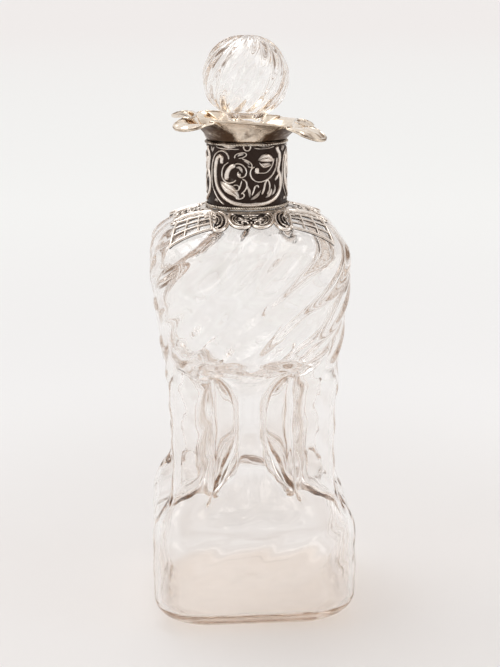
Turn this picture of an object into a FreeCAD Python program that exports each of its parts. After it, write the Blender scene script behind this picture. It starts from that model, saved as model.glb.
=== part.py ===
# Silver-mounted glug glug decanter: a twist-ribbed glass bottle, square in plan, whose four
# sides are drawn in at the waist until they fuse, which leaves four corner tubes round one
# centre tube. A silver collar, pouring lip and pierced shoulder mount dress the neck, and a
# hollow ribbed ball stopper closes it.
# The origin is at the middle of the foot, +Z is up, -Y is the front, and units are millimetres.
import FreeCAD
import Part
import math
import os

Vector = FreeCAD.Vector

# Heights of the glass bottle, one above another
base_height = 58.0
waist_length = 64.0
chest_length = 48.0
shoulder_rise = 21.5
neck_length = 30.0
waist_top = base_height + waist_length
shoulder_height = waist_top + chest_length
neck_foot_height = shoulder_height + shoulder_rise
mouth_height = neck_foot_height + neck_length

# Half widths of the bottle, from its axis to the middle of a side
base_half_width = 46.9
waist_half_width = 37.1
body_half_width = 43.5
neck_radius = 15.5

# Foot
foot_rounding = 14.0
kick_radius = 20.0
kick_depth = 1.6

# Glass thickness, and the tubes of the pinched waist
glass_wall = 3.0
least_wall = 2.0
floor_thickness = 6.0
centre_tube_outer = 5.0
centre_tube_bore = 3.05
web_half_thickness = 2.7
corner_tube_outer = 9.4
corner_wall_outward = 2.9
corner_wall_inward = 1.0
corner_wall_sideways = 3.2
corner_bore_into_base = 6.0
corner_bore_into_chest = 3.0
corner_bore_outward = corner_tube_outer - corner_wall_outward
corner_bore_inward = corner_tube_outer - corner_wall_inward
corner_bore_half_width = corner_tube_outer - corner_wall_sideways
corner_bore_low = base_height - corner_bore_into_base
corner_bore_high = waist_top + corner_bore_into_chest
pinch_into_base = 12.0
pinch_into_chest = 3.0
pinch_low = base_height - pinch_into_base
pinch_high = waist_top + pinch_into_chest

# Twisted ribs of the bottle
rib_count = 16
rib_height = 0.8
rib_turn_height = 290.0

# Ground neck bore
neck_wall = 4.5
bore_taper = 1.3
throat_step = 0.7
bore_above_neck_foot = 3.0
bore_top_radius = neck_radius - neck_wall
bore_bottom_radius = bore_top_radius - bore_taper
throat_radius = bore_bottom_radius - throat_step
bore_bottom_height = neck_foot_height + bore_above_neck_foot

# Stopper
ground_clearance = 0.05
peg_above_bore_bottom = 1.5
peg_below_mouth = 0.8
stopper_neck_inset = 2.8
ball_radius = 18.9
ball_above_mouth = 8.9
ball_wall = 2.4
ball_rib_count = 16
ball_rib_height = 0.55
ball_twist_share = 0.3
peg_hollow_radius = 4.5
peg_bottom_height = bore_bottom_height + peg_above_bore_bottom
peg_top_height = mouth_height - peg_below_mouth
stopper_neck_radius = bore_top_radius - stopper_neck_inset
ball_centre_height = mouth_height + ball_above_mouth + ball_radius

# Silver neck collar and the plaster behind it
collar_room = 2.7
collar_sheet = 0.7
collar_above_neck_foot = 0.4
collar_above_mouth = 0.2
collar_edge_share = 0.09
collar_fade_share = 0.14
collar_relief = 0.55
collar_motifs = 8
collar_rings = 17
top_wire_radius = 0.7
base_wire_radius = 0.8
base_wire_lift = 0.35
wire_clearance = 0.02
plaster_clearance = 0.06
plaster_above_collar_foot = 6.6
collar_radius = neck_radius + collar_room
collar_bottom_height = neck_foot_height + collar_above_neck_foot
collar_top_height = mouth_height + collar_above_mouth
plaster_bottom_height = collar_bottom_height + plaster_above_collar_foot

# Silver pouring lip
lip_sheet = 0.9
lip_mouth_margin = 1.2
lip_foot_inset = 0.2
lip_side_spread = 5.0
lip_side_rise = 9.9
spout_spread = 25.8
spout_half_width = 6.8
spout_drop = 2.6
lip_lean_share = 0.09
lip_mouth_radius = bore_top_radius + lip_mouth_margin
lip_foot_radius = collar_radius - lip_foot_inset
lip_side_reach = lip_foot_radius + lip_side_spread
lip_side_height = collar_top_height + lip_side_rise
spout_reach = collar_radius + spout_spread

# Pierced silver mount on the shoulder, measured in plan
mount_clearance = 0.12
mount_sheet = 0.85
mount_below_shoulder = 5.0
mount_above_neck_foot = 8.5
mount_low = shoulder_height - mount_below_shoulder
mount_high = neck_foot_height + mount_above_neck_foot
flange_clearance = 0.15
flange_width = 3.65
flange_inner_radius = collar_radius + flange_clearance
flange_outer_radius = flange_inner_radius + flange_width
trellis_tip_margin = 8.0
trellis_end_margin = 12.8
trellis_end_across = 17.3
trellis_inner_share = 0.8
trellis_cells = 3
trellis_bar = 0.95
trellis_tip = body_half_width - trellis_tip_margin
trellis_end_out = body_half_width - trellis_end_margin
trellis_inner = flange_outer_radius * trellis_inner_share
cartouche_lobe_radius = 4.4
cartouche_lobe_across = 4.7
cartouche_crest_radius = 3.4
cartouche_drop_radius = 1.8
cartouche_drop_share = 0.75
cartouche_rim = 1.1
cartouche_eye_radius = 1.3
cartouche_field_share = 0.45
cartouche_out = flange_outer_radius + cartouche_lobe_radius
scroll_across = 14.6
scroll_beyond_flange = 1.8
scroll_half_width = 4.8
scroll_half_length = 6.4
scroll_band = 1.6
scroll_eye_radius = 1.6
scroll_out = flange_outer_radius + scroll_beyond_flange
spray_beyond_flange = 0.6
spray_leaf_length = 6.0
spray_leaf_half_width = 1.25
spray_leaf_angles = (-24.0, 0.0, 24.0)
piece_gap = 0.1
spray_start = flange_outer_radius + spray_beyond_flange

# How finely the curved skins are laid out
eighths = 8
eighth_steps = 12
ring_steps = 96
skin_rings = 72


# Small helpers for smooth numbers

def ease(share):
    share = min(1.0, max(0.0, share))
    return share * share * (3.0 - 2.0 * share)


def mix(first, second, share):
    return first + (second - first) * share


def follow(stations, place):
    # A smooth line through hand-chosen (place, value) pairs that never overshoots them.
    if place <= stations[0][0]:
        return stations[0][1]
    if place >= stations[-1][0]:
        return stations[-1][1]
    slopes = [(b[1] - a[1]) / (b[0] - a[0]) for a, b in zip(stations, stations[1:])]
    tangents = [slopes[0]]
    for before, after in zip(slopes, slopes[1:]):
        tangents.append(2 * before * after / (before + after) if before * after > 0 else 0.0)
    tangents.append(slopes[-1])
    i = max(j for j in range(len(slopes)) if stations[j][0] <= place)
    span = stations[i + 1][0] - stations[i][0]
    t = (place - stations[i][0]) / span
    start = (1 + 2 * t) * (1 - t) ** 2 * stations[i][1] + t * (1 - t) ** 2 * span * tangents[i]
    end = t * t * (3 - 2 * t) * stations[i + 1][1] - t * t * (1 - t) * span * tangents[i + 1]
    return start + end


def resample(points, count):
    # Evenly spaced points on a smooth line through the given ones.
    lengths = [0.0]
    for a, b in zip(points, points[1:]):
        lengths.append(lengths[-1] + math.dist(a, b))
    columns = [list(zip(lengths, column)) for column in zip(*points)]
    places = [lengths[-1] * i / (count - 1) for i in range(count)]
    return [tuple(follow(column, place) for column in columns) for place in places]


def along(points, share):
    place = min(0.999999, max(0.0, share)) * (len(points) - 1)
    i = int(place)
    return tuple(mix(a, b, place - i) for a, b in zip(points[i], points[i + 1]))


def polar(radius, degrees):
    return radius * math.cos(math.radians(degrees)), radius * math.sin(math.radians(degrees))


# Skins: closed rings of points, one above another, with a smooth surface through them all

def ring_of_eighths(eighth):
    # Turns a line from the middle of a side to a corner into a closed ring with eight of them.
    ring = []
    for i in range(eighths * eighth_steps):
        side, place = divmod(i / eighth_steps + 1.0, 2.0)
        across, out, height = eighth(abs(place - 1.0))
        across = math.copysign(across, place - 1.0)
        cosine, sine = polar(1.0, side * 90.0)
        x = across * cosine + out * sine
        y = across * sine - out * cosine
        ring.append(Vector(x, y, height))
    return ring


def round_ring(radius, height):
    turns = (360.0 * i / ring_steps for i in range(ring_steps))
    return [Vector(*polar(radius, turn - 90.0), height) for turn in turns]


def raised(rings, lift):
    # Moves every point square to the skin by lift(ring number, share round the ring).
    result = []
    for k, ring in enumerate(rings):
        below = rings[max(k - 1, 0)]
        above = rings[min(k + 1, len(rings) - 1)]
        count = len(ring)
        moved = []
        for i, point in enumerate(ring):
            amount = lift(k, i / count)
            if amount:
                normal = (ring[(i + 1) % count] - ring[i - 1]).cross(above[i] - below[i])
                normal.normalize()
                point = point + normal * amount
            moved.append(point)
        result.append(moved)
    return result


def skin_surface(rings, closed_upward=False):
    count = len(rings[0])
    round_places = [i / count for i in range(count + 1)]
    rows = []
    for ring in rings:
        curve = Part.BSplineCurve()
        curve.interpolate(Points=ring, PeriodicFlag=True, Parameters=round_places)
        rows.append(curve.getPoles())
    round_knots = curve.getKnots()
    round_counts = curve.getMultiplicities()
    chain = rings + [rings[0]] if closed_upward else rings
    lengths = [0.0]
    for below, above in zip(chain, chain[1:]):
        lengths.append(lengths[-1] + sum(a.distanceToPoint(b) for a, b in zip(below, above)))
    up_places = [length / lengths[-1] for length in lengths]
    poles = []
    for i in range(len(rows[0])):
        curve = Part.BSplineCurve()
        points = [row[i] for row in rows]
        curve.interpolate(Points=points, PeriodicFlag=closed_upward, Parameters=up_places)
        poles.append(curve.getPoles())
    surface = Part.BSplineSurface()
    surface.buildFromPolesMultsKnots(
        poles,
        round_counts,
        curve.getMultiplicities(),
        round_knots,
        curve.getKnots(),
        True,
        closed_upward,
        3,
        3,
    )
    return surface


def solid_from_faces(faces):
    shell = Part.Shell(faces)
    if len(faces) > 1:
        shell.sewShape()
    solid = Part.Solid(shell)
    if solid.Volume < 0:
        solid.reverse()
    return solid


def skin_solid(rings):
    side = skin_surface(rings).toShape()
    ends = [Part.Face(Part.Wire([edge])) for edge in side.Edges if edge.isClosed()]
    return solid_from_faces([side] + ends)


def turned(profile):
    # A solid of revolution about the axis from (radius, height) corners.
    corners = [Vector(radius, 0, height) for radius, height in profile]
    wire = Part.makePolygon(corners + corners[:1])
    return Part.Face(wire).revolve(Vector(0, 0, 0), Vector(0, 0, 1), 360)


def whole_torus(ring_radius, wire, height):
    return Part.makeTorus(ring_radius, wire, Vector(0, 0, height), Vector(0, 0, 1))


# Outline of the bottle, as shares of the heights and half widths above

foot_angles = (0.0, 18.0, 36.0, 54.0, 72.0, 90.0)
base_shares = [(0.54, 1.0), (0.76, 0.994), (0.885, 0.968), (0.97, 0.915), (1.035, 0.853)]
waist_shares = [(0.1, 1.025), (0.2, 1.004), (0.35, 1.0), (0.58, 1.003), (0.78, 1.018)]
upper_shares = [(0.0, 0.898), (0.29, 0.928), (0.65, 0.967), (0.93, 0.999)]
shoulder_shares = [(0.2, 0.985), (0.46, 0.875), (0.67, 0.69), (0.815, 0.46), (0.915, 0.235)]
neck_shares = [(1.0, 0.066), (1.12, 0.01)]
straight_neck_shares = (0.25, 0.6, 1.0)


def bottle_profile(wall, floor):
    # (height, half width) pairs of a skin that lies wall inside the outer one.
    rounding = foot_rounding - wall
    profile = []
    for angle in foot_angles:
        inward, upward = polar(rounding, angle)
        profile.append((floor + rounding - inward, base_half_width - foot_rounding + upward))
    for height_share, width_share in base_shares:
        profile.append((base_height * height_share, base_half_width * width_share - wall))
    for height_share, width_share in waist_shares:
        height = mix(base_height, waist_top, height_share)
        profile.append((height, waist_half_width * width_share - wall))
    for height_share, width_share in upper_shares:
        height = mix(waist_top, shoulder_height, height_share)
        profile.append((height, body_half_width * width_share - wall))
    for height_share, width_share in shoulder_shares:
        height = mix(shoulder_height, neck_foot_height, height_share)
        half_width = mix(neck_radius, body_half_width, width_share)
        drop = wall * (1 - width_share * width_share)
        profile.append((height - drop, half_width - wall * width_share))
    return profile


def outer_profile():
    profile = bottle_profile(0.0, 0.0)
    for height_share, width_share in neck_shares:
        height = mix(shoulder_height, neck_foot_height, height_share)
        profile.append((height, mix(neck_radius, body_half_width, width_share)))
    for height_share in straight_neck_shares:
        profile.append((mix(neck_foot_height, mouth_height, height_share), neck_radius))
    return profile


def inner_profile():
    profile = bottle_profile(glass_wall, floor_thickness)
    profile.append((neck_foot_height - glass_wall * 0.8, mix(throat_radius, neck_radius, 0.82)))
    profile.append((neck_foot_height, mix(throat_radius, neck_radius, 0.2)))
    profile.append((neck_foot_height + glass_wall * 0.6, throat_radius))
    profile.append((bore_bottom_height + glass_wall * 0.6, throat_radius))
    return profile


# Plan of the bottle: shares of roundness, and of how far each side is drawn in

corner_shares = [(0.0, 0.5), (0.03, 0.4), (0.1, 0.34), (0.25, 0.33), (0.75, 0.38), (0.89, 0.43)]
corner_shares += [(0.927, 0.5), (0.963, 0.64), (0.979, 0.76), (0.99, 0.88), (1.0, 1.0)]
centre_pinch = [(0.0, 0.0), (0.05, 0.04), (0.11, 0.17), (0.165, 0.36), (0.25, 0.64), (0.34, 0.85)]
centre_pinch += [(0.43, 0.96), (0.53, 1.0), (0.66, 0.985), (0.74, 0.93), (0.83, 0.77)]
centre_pinch += [(0.885, 0.55), (0.925, 0.27), (0.965, 0.07), (1.0, 0.0)]
valley_pinch = [(0.04, 0.0), (0.11, 0.2), (0.17, 0.66), (0.225, 0.93), (0.28, 1.0), (0.81, 1.0)]
valley_pinch += [(0.875, 0.94), (0.92, 0.66), (0.96, 0.22), (1.0, 0.0)]
valley_share = 0.42
arm_start_share = 0.35
pinch_lead_share = 0.05
rib_shares = [(0.0, 0.0), (0.057, 0.0), (0.137, 0.4), (0.32, 0.6), (0.514, 1.0), (0.945, 1.0)]
rib_shares += [(0.978, 0.6), (1.005, 0.0)]

outer_places = resample(outer_profile(), skin_rings)
outer_heights = [place[0] for place in outer_places]


def half_width_at(height):
    return follow(outer_places, height)


def corner_share_at(height):
    # The corners turn fully round on the way up to the neck.
    return follow(corner_shares, height / neck_foot_height)


def pinch_place(height, lead_share):
    place = (height - pinch_low) / (pinch_high - pinch_low)
    return 0.5 + (place - 0.5) * (1 - lead_share)


def square_eighth(half_width, corner_radius, share):
    # A point of a rounded square, from the middle of its front side to its corner.
    straight = half_width - corner_radius
    travel = share * (straight + corner_radius * math.pi / 4)
    if travel <= straight:
        return travel, half_width
    across, out = polar(corner_radius, 90.0 - math.degrees((travel - straight) / corner_radius))
    return straight + across, straight + out


def pinched_eighth_points():
    # The same eighth where the side is drawn right in: a web's flank, then a corner tube.
    centre = waist_half_width - corner_tube_outer
    flank = web_half_thickness * math.sqrt(2.0)
    web_end = centre - corner_tube_outer - web_half_thickness
    points = [(0.0, centre_tube_outer), (centre_tube_outer / 4, centre_tube_outer * 1.03)]
    for share in (0.28, 0.52, 0.76, 1.0):
        points.append((web_end * share, web_end * share + flank))
    for angle in (200.0, 175.0, 150.0, 125.0, 100.0, 80.0, 62.0, 45.0):
        across, out = polar(corner_tube_outer, angle)
        points.append((centre + across, centre + out))
    return points


pinched_eighth = resample(pinched_eighth_points(), 4 * eighth_steps + 1)


def outer_eighth(height, half_width, lead_share=0.0):
    place = pinch_place(height, lead_share)
    centre = follow(centre_pinch, place)
    valley = follow(valley_pinch, place)
    corner_radius = half_width * corner_share_at(height)
    growth = half_width - waist_half_width

    def point(share):
        drawn = mix(centre, valley, ease(share / valley_share))
        plain = square_eighth(half_width, corner_radius, share)
        tucked = along(pinched_eighth, share)
        shift = growth * ease((share - valley_share) / valley_share)
        across, out = (mix(a, b + shift, drawn) for a, b in zip(plain, tucked))
        return across, out, height

    return point


def outer_rings():
    return [ring_of_eighths(outer_eighth(height, half_width)) for height, half_width in outer_places]


def rib_envelope(height):
    return rib_height * follow(rib_shares, height / neck_foot_height)


def rib_lift(k, round_share):
    strength = rib_envelope(outer_heights[k])
    phase = rib_count * (round_share - outer_heights[k] / rib_turn_height)
    return strength * 0.5 * (1 + math.cos(2 * math.pi * phase))


# Hollow of the bottle

def distance_to_line(point, line):
    nearest = []
    for start, end in zip(line, line[1:]):
        run = (end[0] - start[0], end[1] - start[1])
        offset = (point[0] - start[0], point[1] - start[1])
        share = (offset[0] * run[0] + offset[1] * run[1]) / (run[0] ** 2 + run[1] ** 2)
        share = min(1.0, max(0.0, share))
        nearest.append(math.hypot(offset[0] - share * run[0], offset[1] - share * run[1]))
    return min(nearest)


def inner_eighth(height, half_width):
    # Draws the hollow in ahead of the outside, and its corners back until the glass is thick
    # enough between the hollow and the sides of the webs.
    place = pinch_place(height, pinch_lead_share)
    centre = follow(centre_pinch, place)
    valley = follow(valley_pinch, place)
    outer_half_width = half_width_at(height)
    corner_radius = outer_half_width * corner_share_at(height) - glass_wall
    corner_radius = min(half_width, max(centre_tube_bore, corner_radius))

    def point(share, reach_pinch):
        drawn = mix(centre, valley, ease(share / valley_share))
        drawn = mix(drawn, reach_pinch, ease((share - arm_start_share) / (1 - arm_start_share)))
        plain = square_eighth(half_width, corner_radius, share)
        out, across = polar(centre_tube_bore, share * 45.0)
        return mix(plain[0], across, drawn), mix(plain[1], out, drawn), height

    reach_pinch = 0.0
    if 0.0 < pinch_place(height, 0.0) < 1.0:
        outside = outer_eighth(height, outer_half_width, pinch_lead_share)
        line = [outside(i / 24)[:2] for i in range(25)]
        line = [(-across, out) for across, out in line[8:0:-1]] + line
        line = line + [(out, across) for across, out in line[-2:8:-1]]
        too_far, near = 0.0, 1.0
        for attempt in range(10):
            middle = (too_far + near) / 2
            points = [point(i / 16, middle)[:2] for i in range(5, 17)]
            if min(distance_to_line(flat, line) for flat in points) < least_wall:
                too_far = middle
            else:
                near = middle
        reach_pinch = near if near > 0.002 else 0.0
    return lambda share: point(share, reach_pinch)


def inner_rings():
    places = resample(inner_profile(), skin_rings)
    return [ring_of_eighths(inner_eighth(height, half_width)) for height, half_width in places]


def corner_bore():
    # One egg-shaped bore up the front right corner, which opens into both chambers.
    rings = []
    steps = 24
    for share in (0.0, 0.25, 0.5, 0.75, 1.0):
        height = mix(corner_bore_low, corner_bore_high, share)
        centre = (waist_half_width - corner_tube_outer) * math.sqrt(2.0)
        ring = []
        for i in range(steps):
            outward, sideways = polar(1.0, 360.0 * i / steps)
            length = corner_bore_outward if outward > 0 else corner_bore_inward
            narrowing = 1.0 if outward > 0 else 1.0 - 0.35 * outward * outward
            half_width = sideways * corner_bore_half_width * narrowing
            ring.append(Vector(centre + outward * length, half_width, height))
        rings.append(ring)
    bore = skin_solid(rings)
    bore.rotate(Vector(0, 0, 0), Vector(0, 0, 1), -45)
    return bore


def bore_radius_at(height):
    share = (height - bore_bottom_height) / (mouth_height - bore_bottom_height)
    return mix(bore_bottom_radius, bore_top_radius, share)


def cone_between(low, high, clearance):
    return Part.makeCone(
        bore_radius_at(low) - clearance,
        bore_radius_at(high) - clearance,
        high - low,
        Vector(0, 0, low),
    )


def bottle_hollow():
    hollow = skin_solid(inner_rings())
    bore = corner_bore()
    bores = []
    for quarter in range(4):
        turned_bore = bore.copy()
        turned_bore.rotate(Vector(0, 0, 0), Vector(0, 0, 1), 90 * quarter)
        bores.append(turned_bore)
    hollow = hollow.fuse(bores)
    ground_bore = cone_between(bore_bottom_height, mouth_height + glass_wall, 0.0)
    return hollow.fuse(ground_bore)


def glass_body(rings):
    body = skin_solid(raised(rings, rib_lift))
    kick_sphere_radius = (kick_radius ** 2 + kick_depth ** 2) / (2 * kick_depth)
    kick = Part.makeSphere(kick_sphere_radius, Vector(0, 0, kick_depth - kick_sphere_radius))
    return body.cut(kick).cut(bottle_hollow())


# Stopper: ribbed hollow ball on a ground peg, with its hollow left open at the foot

ball_start_angle = 30.0
ball_end_angle = 177.0
ball_rib_shares = [(0.0, 0.0), (0.3, 0.0), (0.42, 1.0), (0.82, 1.0), (0.97, 0.25), (1.0, 0.0)]
stopper_rings = 40


def stopper():
    neck_bottom = peg_top_height - stopper_neck_radius / 2
    ball_bottom = ball_centre_height - ball_radius
    profile = [
        (neck_bottom, stopper_neck_radius),
        (mix(neck_bottom, ball_bottom, 0.4), stopper_neck_radius),
        (mix(neck_bottom, ball_bottom, 0.8), stopper_neck_radius * 0.98),
        (ball_bottom, stopper_neck_radius * 1.0),
    ]
    for step in range(12):
        angle = mix(ball_start_angle, ball_end_angle, step / 11)
        down, out = polar(ball_radius, angle)
        profile.append((ball_centre_height - down, out))
    places = resample(profile, stopper_rings)
    rings = [round_ring(radius, height) for height, radius in places]

    def lift(k, round_share):
        up_share = k / (stopper_rings - 1)
        phase = ball_rib_count * (round_share - ball_twist_share * up_share)
        return ball_rib_height * follow(ball_rib_shares, up_share) * 0.5 * (
            1 + math.cos(2 * math.pi * phase)
        )

    ball = skin_solid(raised(rings, lift))
    peg = cone_between(peg_bottom_height, peg_top_height, ground_clearance)
    hollow_top = ball_centre_height - ball_radius / 2
    hollow = Part.makeCylinder(peg_hollow_radius, hollow_top, Vector(0, 0, 0))
    hollow = hollow.fuse(Part.makeSphere(ball_radius - ball_wall, Vector(0, 0, ball_centre_height)))
    return ball.fuse(peg).cut(hollow)


# Silver on the neck

def collar_motif(around, upward):
    # Bands of S-scrolls in low relief between plain edges.
    from_edge = min(upward, 1 - upward)
    band = ease((from_edge - collar_edge_share) / collar_fade_share)
    sway = 1.3 * math.sin(2 * math.pi * upward)
    scroll = 0.5 + 0.5 * math.cos(2 * math.pi * collar_motifs * around + sway * 2)
    return band * scroll


def neck_collar():
    rings = []
    for k in range(collar_rings):
        upward = k / (collar_rings - 1)
        rings.append(round_ring(collar_radius, mix(collar_bottom_height, collar_top_height, upward)))

    def lift(k, round_share):
        return collar_relief * collar_motif(round_share, k / (collar_rings - 1))

    outside = skin_solid(raised(rings, lift))
    return outside.cut(Part.makeCylinder(collar_radius - collar_sheet, mouth_height * 2))


def collar_top_wire():
    ring_radius = collar_radius + top_wire_radius + wire_clearance
    return whole_torus(ring_radius, top_wire_radius, collar_top_height - top_wire_radius)


def collar_base_wire():
    ring_radius = collar_radius + base_wire_radius + wire_clearance
    height = collar_bottom_height + base_wire_lift + base_wire_radius
    return whole_torus(ring_radius, base_wire_radius, height)


def plaster_bedding():
    inner = neck_radius + plaster_clearance
    outer = collar_radius - collar_sheet - plaster_clearance
    top = mouth_height - plaster_clearance
    bottom = plaster_bottom_height
    return turned([(inner, bottom), (outer, bottom), (outer, top), (inner, top)])


rim_side_shares = [(0.0, 1.0), (0.23, 1.01), (0.42, 1.03), (0.6, 1.07), (0.76, 1.14)]
rim_drop_shares = [(0.0, 0.0), (0.3, 0.0), (0.6, 0.1), (0.75, 0.27), (0.9, 0.66), (1.0, 1.0)]
side_rise_shares = [(0.0, 0.0), (0.3, 0.36), (0.65, 0.72), (1.0, 1.0)]
spout_rise_shares = [(0.0, 0.0), (0.14, 0.33), (0.28, 0.65), (0.42, 0.88), (0.6, 0.93), (1.0, 0.72)]
bowl_shares = (0.06, 0.16, 0.28, 0.42, 0.56, 0.7, 0.85, 1.0)
flange_shares = (0.0, 0.5, 0.86)
spout_start_share = 0.3
spout_span_share = 0.6


def rolled_edge(edge, inside, half):
    # Moves an edge ring on by half the sheet, for a rounded edge.
    return [a + (a - b) * (half / a.distanceToPoint(b)) for a, b in zip(edge, inside)]



def lip_rim():
    # The rim in plan, from the middle of a side to the tip of a spout.
    points = [(lip_side_reach * across, lip_side_reach * out) for across, out in rim_side_shares]
    spout_centre = spout_reach - spout_half_width
    spout = [(spout_centre - spout_half_width * 0.55, spout_half_width * 1.1)]
    for angle in (90.0, 67.0, 45.0, 22.0, 0.0):
        onward, sideways = polar(spout_half_width, angle)
        spout.append((spout_centre + onward, sideways))
    half_root = math.sqrt(0.5)
    points += [((u - w) * half_root, (u + w) * half_root) for u, w in spout]
    return resample(points, 4 * eighth_steps + 1)


def leaning(ring, bowl_share):
    # The bowl of the lip stands a little higher on the left, bent by long use.
    lean = lip_lean_share * bowl_share
    return [point - Vector(0, 0, point.x * lean) for point in ring]


def pouring_lip():
    rim = lip_rim()
    seat = collar_top_height + lip_sheet / 2
    half_root = math.sqrt(0.5)
    first_reach = lip_side_reach * half_root

    def bowl(bowl_share):
        side_rise = follow(side_rise_shares, bowl_share)
        spout_rise = follow(spout_rise_shares, bowl_share)

        def point(share):
            across, out = along(rim, share)
            reach = (across + out) * half_root
            reach_share = (reach - first_reach) / (spout_reach - first_reach)
            rim_drop = spout_drop * follow(rim_drop_shares, reach_share)
            foot_out, foot_across = polar(lip_foot_radius, share * 45.0)
            spout_share = ease((share - spout_start_share) / spout_span_share)
            rise = mix(side_rise, spout_rise, spout_share)
            top_rise = mix(side_rise_shares[-1][1], spout_rise_shares[-1][1], spout_share)
            rim_rise = 1.0 - rim_drop / (lip_side_height - seat)
            rise = rise + (rim_rise - top_rise) * bowl_share ** 3
            return (
                mix(foot_across, across, bowl_share),
                mix(foot_out, out, bowl_share),
                mix(seat, lip_side_height, rise),
            )

        return point

    middle = []
    for share in flange_shares:
        middle.append(round_ring(mix(lip_mouth_radius, lip_foot_radius, share), seat))
    middle += [leaning(ring_of_eighths(bowl(share)), share) for share in bowl_shares]
    half = lip_sheet / 2
    under = raised(middle, lambda k, share: half)
    upper = raised(middle, lambda k, share: -half)
    rolled_rim = rolled_edge(middle[-1], middle[-2], half)
    rolled_mouth = rolled_edge(middle[0], middle[1], half)
    loop = under + [rolled_rim] + upper[::-1] + [rolled_mouth]
    return solid_from_faces([skin_surface(loop, True).toShape()])


# Pierced mount on the shoulder, cut from sheets that follow the glass

def mount_blank(rings, lift_above):
    # The shoulder with the tops of its ribs filled in and lift_above added.
    chosen = [k for k, height in enumerate(outer_heights) if mount_low < height < mount_high]
    zone = [rings[k] for k in chosen]

    def lift(k, round_share):
        fade = ease(k / 3) * ease((len(chosen) - 1 - k) / 3)
        return fade * (rib_envelope(outer_heights[chosen[k]]) + lift_above)

    return skin_solid(raised(zone, lift))


def upright(face):
    face.translate(Vector(0, 0, mount_low))
    return face.extrude(Vector(0, 0, mount_high - mount_low))


def joined(shapes):
    return shapes[0].fuse(shapes[1:]) if len(shapes) > 1 else shapes[0]


def disc(radius, x, y):
    return Part.Face(Part.Wire([Part.makeCircle(radius, Vector(x, y, 0))]))


def bar(start, end, width):
    run = end - start
    run.normalize()
    aside = Vector(-run.y, run.x, 0) * (width / 2)
    start = start - run * (width / 2)
    end = end + run * (width / 2)
    corners = [start + aside, start - aside, end - aside, end + aside]
    return Part.Face(Part.makePolygon(corners + corners[:1]))


def blend_points(first, second, share):
    return first + (second - first) * share


def leaf(root, angle, length, half_width):
    along_leaf = Vector(*polar(1.0, angle), 0)
    aside = Vector(-along_leaf.y, along_leaf.x, 0) * half_width
    tip = root + along_leaf * length
    waist = root + along_leaf * (length * 0.55)
    edges = [
        Part.Arc(root, waist + aside, tip).toShape(),
        Part.Arc(tip, waist - aside, root).toShape(),
    ]
    return Part.Face(Part.Wire(edges))


def spray_plan(growth):
    half_root = math.sqrt(0.5)
    root = Vector(spray_start * half_root, -spray_start * half_root, 0)
    leaves = [
        leaf(root, angle - 45.0, spray_leaf_length + growth, spray_leaf_half_width + growth)
        for angle in spray_leaf_angles
    ]
    centre_reach = spray_leaf_half_width + growth
    onward = Vector(half_root, -half_root, 0) * spray_leaf_half_width
    return leaves + [disc(centre_reach, root.x + onward.x, root.y + onward.y)]


def trellis_plan():
    inner = Vector(trellis_inner, -trellis_inner, 0)
    front = Vector(trellis_end_across, -trellis_end_out, 0)
    side = Vector(trellis_end_out, -trellis_end_across, 0)
    tip = Vector(trellis_tip, -trellis_tip, 0)
    bars = []
    for i in range(trellis_cells + 1):
        share = i / trellis_cells
        start, end = blend_points(inner, front, share), blend_points(side, tip, share)
        bars.append(bar(start, end, trellis_bar))
        start, end = blend_points(inner, side, share), blend_points(front, tip, share)
        bars.append(bar(start, end, trellis_bar))
    return bars


def scroll_plan():
    # A C-scroll that turns its back on the cartouche, with an eye at each end.
    centre = Vector(scroll_across, -scroll_out, 0)
    outer = Part.Ellipse(centre, scroll_half_length, scroll_half_width)
    inner = Part.Ellipse(centre, scroll_half_length - scroll_band, scroll_half_width - scroll_band)
    faces = []
    for oval in (outer, inner):
        face = Part.Face(Part.Wire([oval.toShape()]))
        face.rotate(centre, Vector(0, 0, 1), 90)
        faces.append(face)
    ring = faces[0].cut(faces[1])
    corner = centre - Vector(scroll_half_width, scroll_half_length, 0)
    half = Part.makePlane(scroll_half_width, 2 * scroll_half_length, corner)
    eye_out = scroll_half_length - scroll_eye_radius
    eyes = [disc(scroll_eye_radius, scroll_across, end * eye_out - scroll_out) for end in (-1, 1)]
    return [ring.common(half)] + eyes


def cartouche_plan():
    lobes = [
        disc(cartouche_lobe_radius, side * cartouche_lobe_across, -cartouche_out)
        for side in (-1, 1)
    ]
    crest = disc(cartouche_crest_radius, 0, -flange_outer_radius - cartouche_crest_radius)
    drop_out = cartouche_out + cartouche_lobe_radius * cartouche_drop_share
    drop = disc(cartouche_drop_radius, 0, -drop_out)
    return lobes + [crest, drop]


def cartouche_field():
    # The sunk field of each lobe, round a raised eye.
    fields = []
    for side in (-1, 1):
        place = side * cartouche_lobe_across
        field = disc(cartouche_lobe_radius - cartouche_rim, place, -cartouche_out)
        fields.append(field.cut(disc(cartouche_eye_radius, place, -cartouche_out)))
    return fields


def mount_piece(plan, high, low, clear_of_flange=True):
    solid = joined([upright(face) for face in plan]).removeSplitter()
    if clear_of_flange:
        solid = solid.cut(upright(disc(flange_outer_radius + piece_gap / 2, 0, 0)))
    return solid.common(high).cut(low)


def turned_copy(shape, quarter):
    copy = shape.copy()
    copy.rotate(Vector(0, 0, 0), Vector(0, 0, 1), 90 * quarter)
    return copy


def flat_ring(inner, outer):
    return disc(outer, 0, 0).cut(disc(inner, 0, 0))


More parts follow.
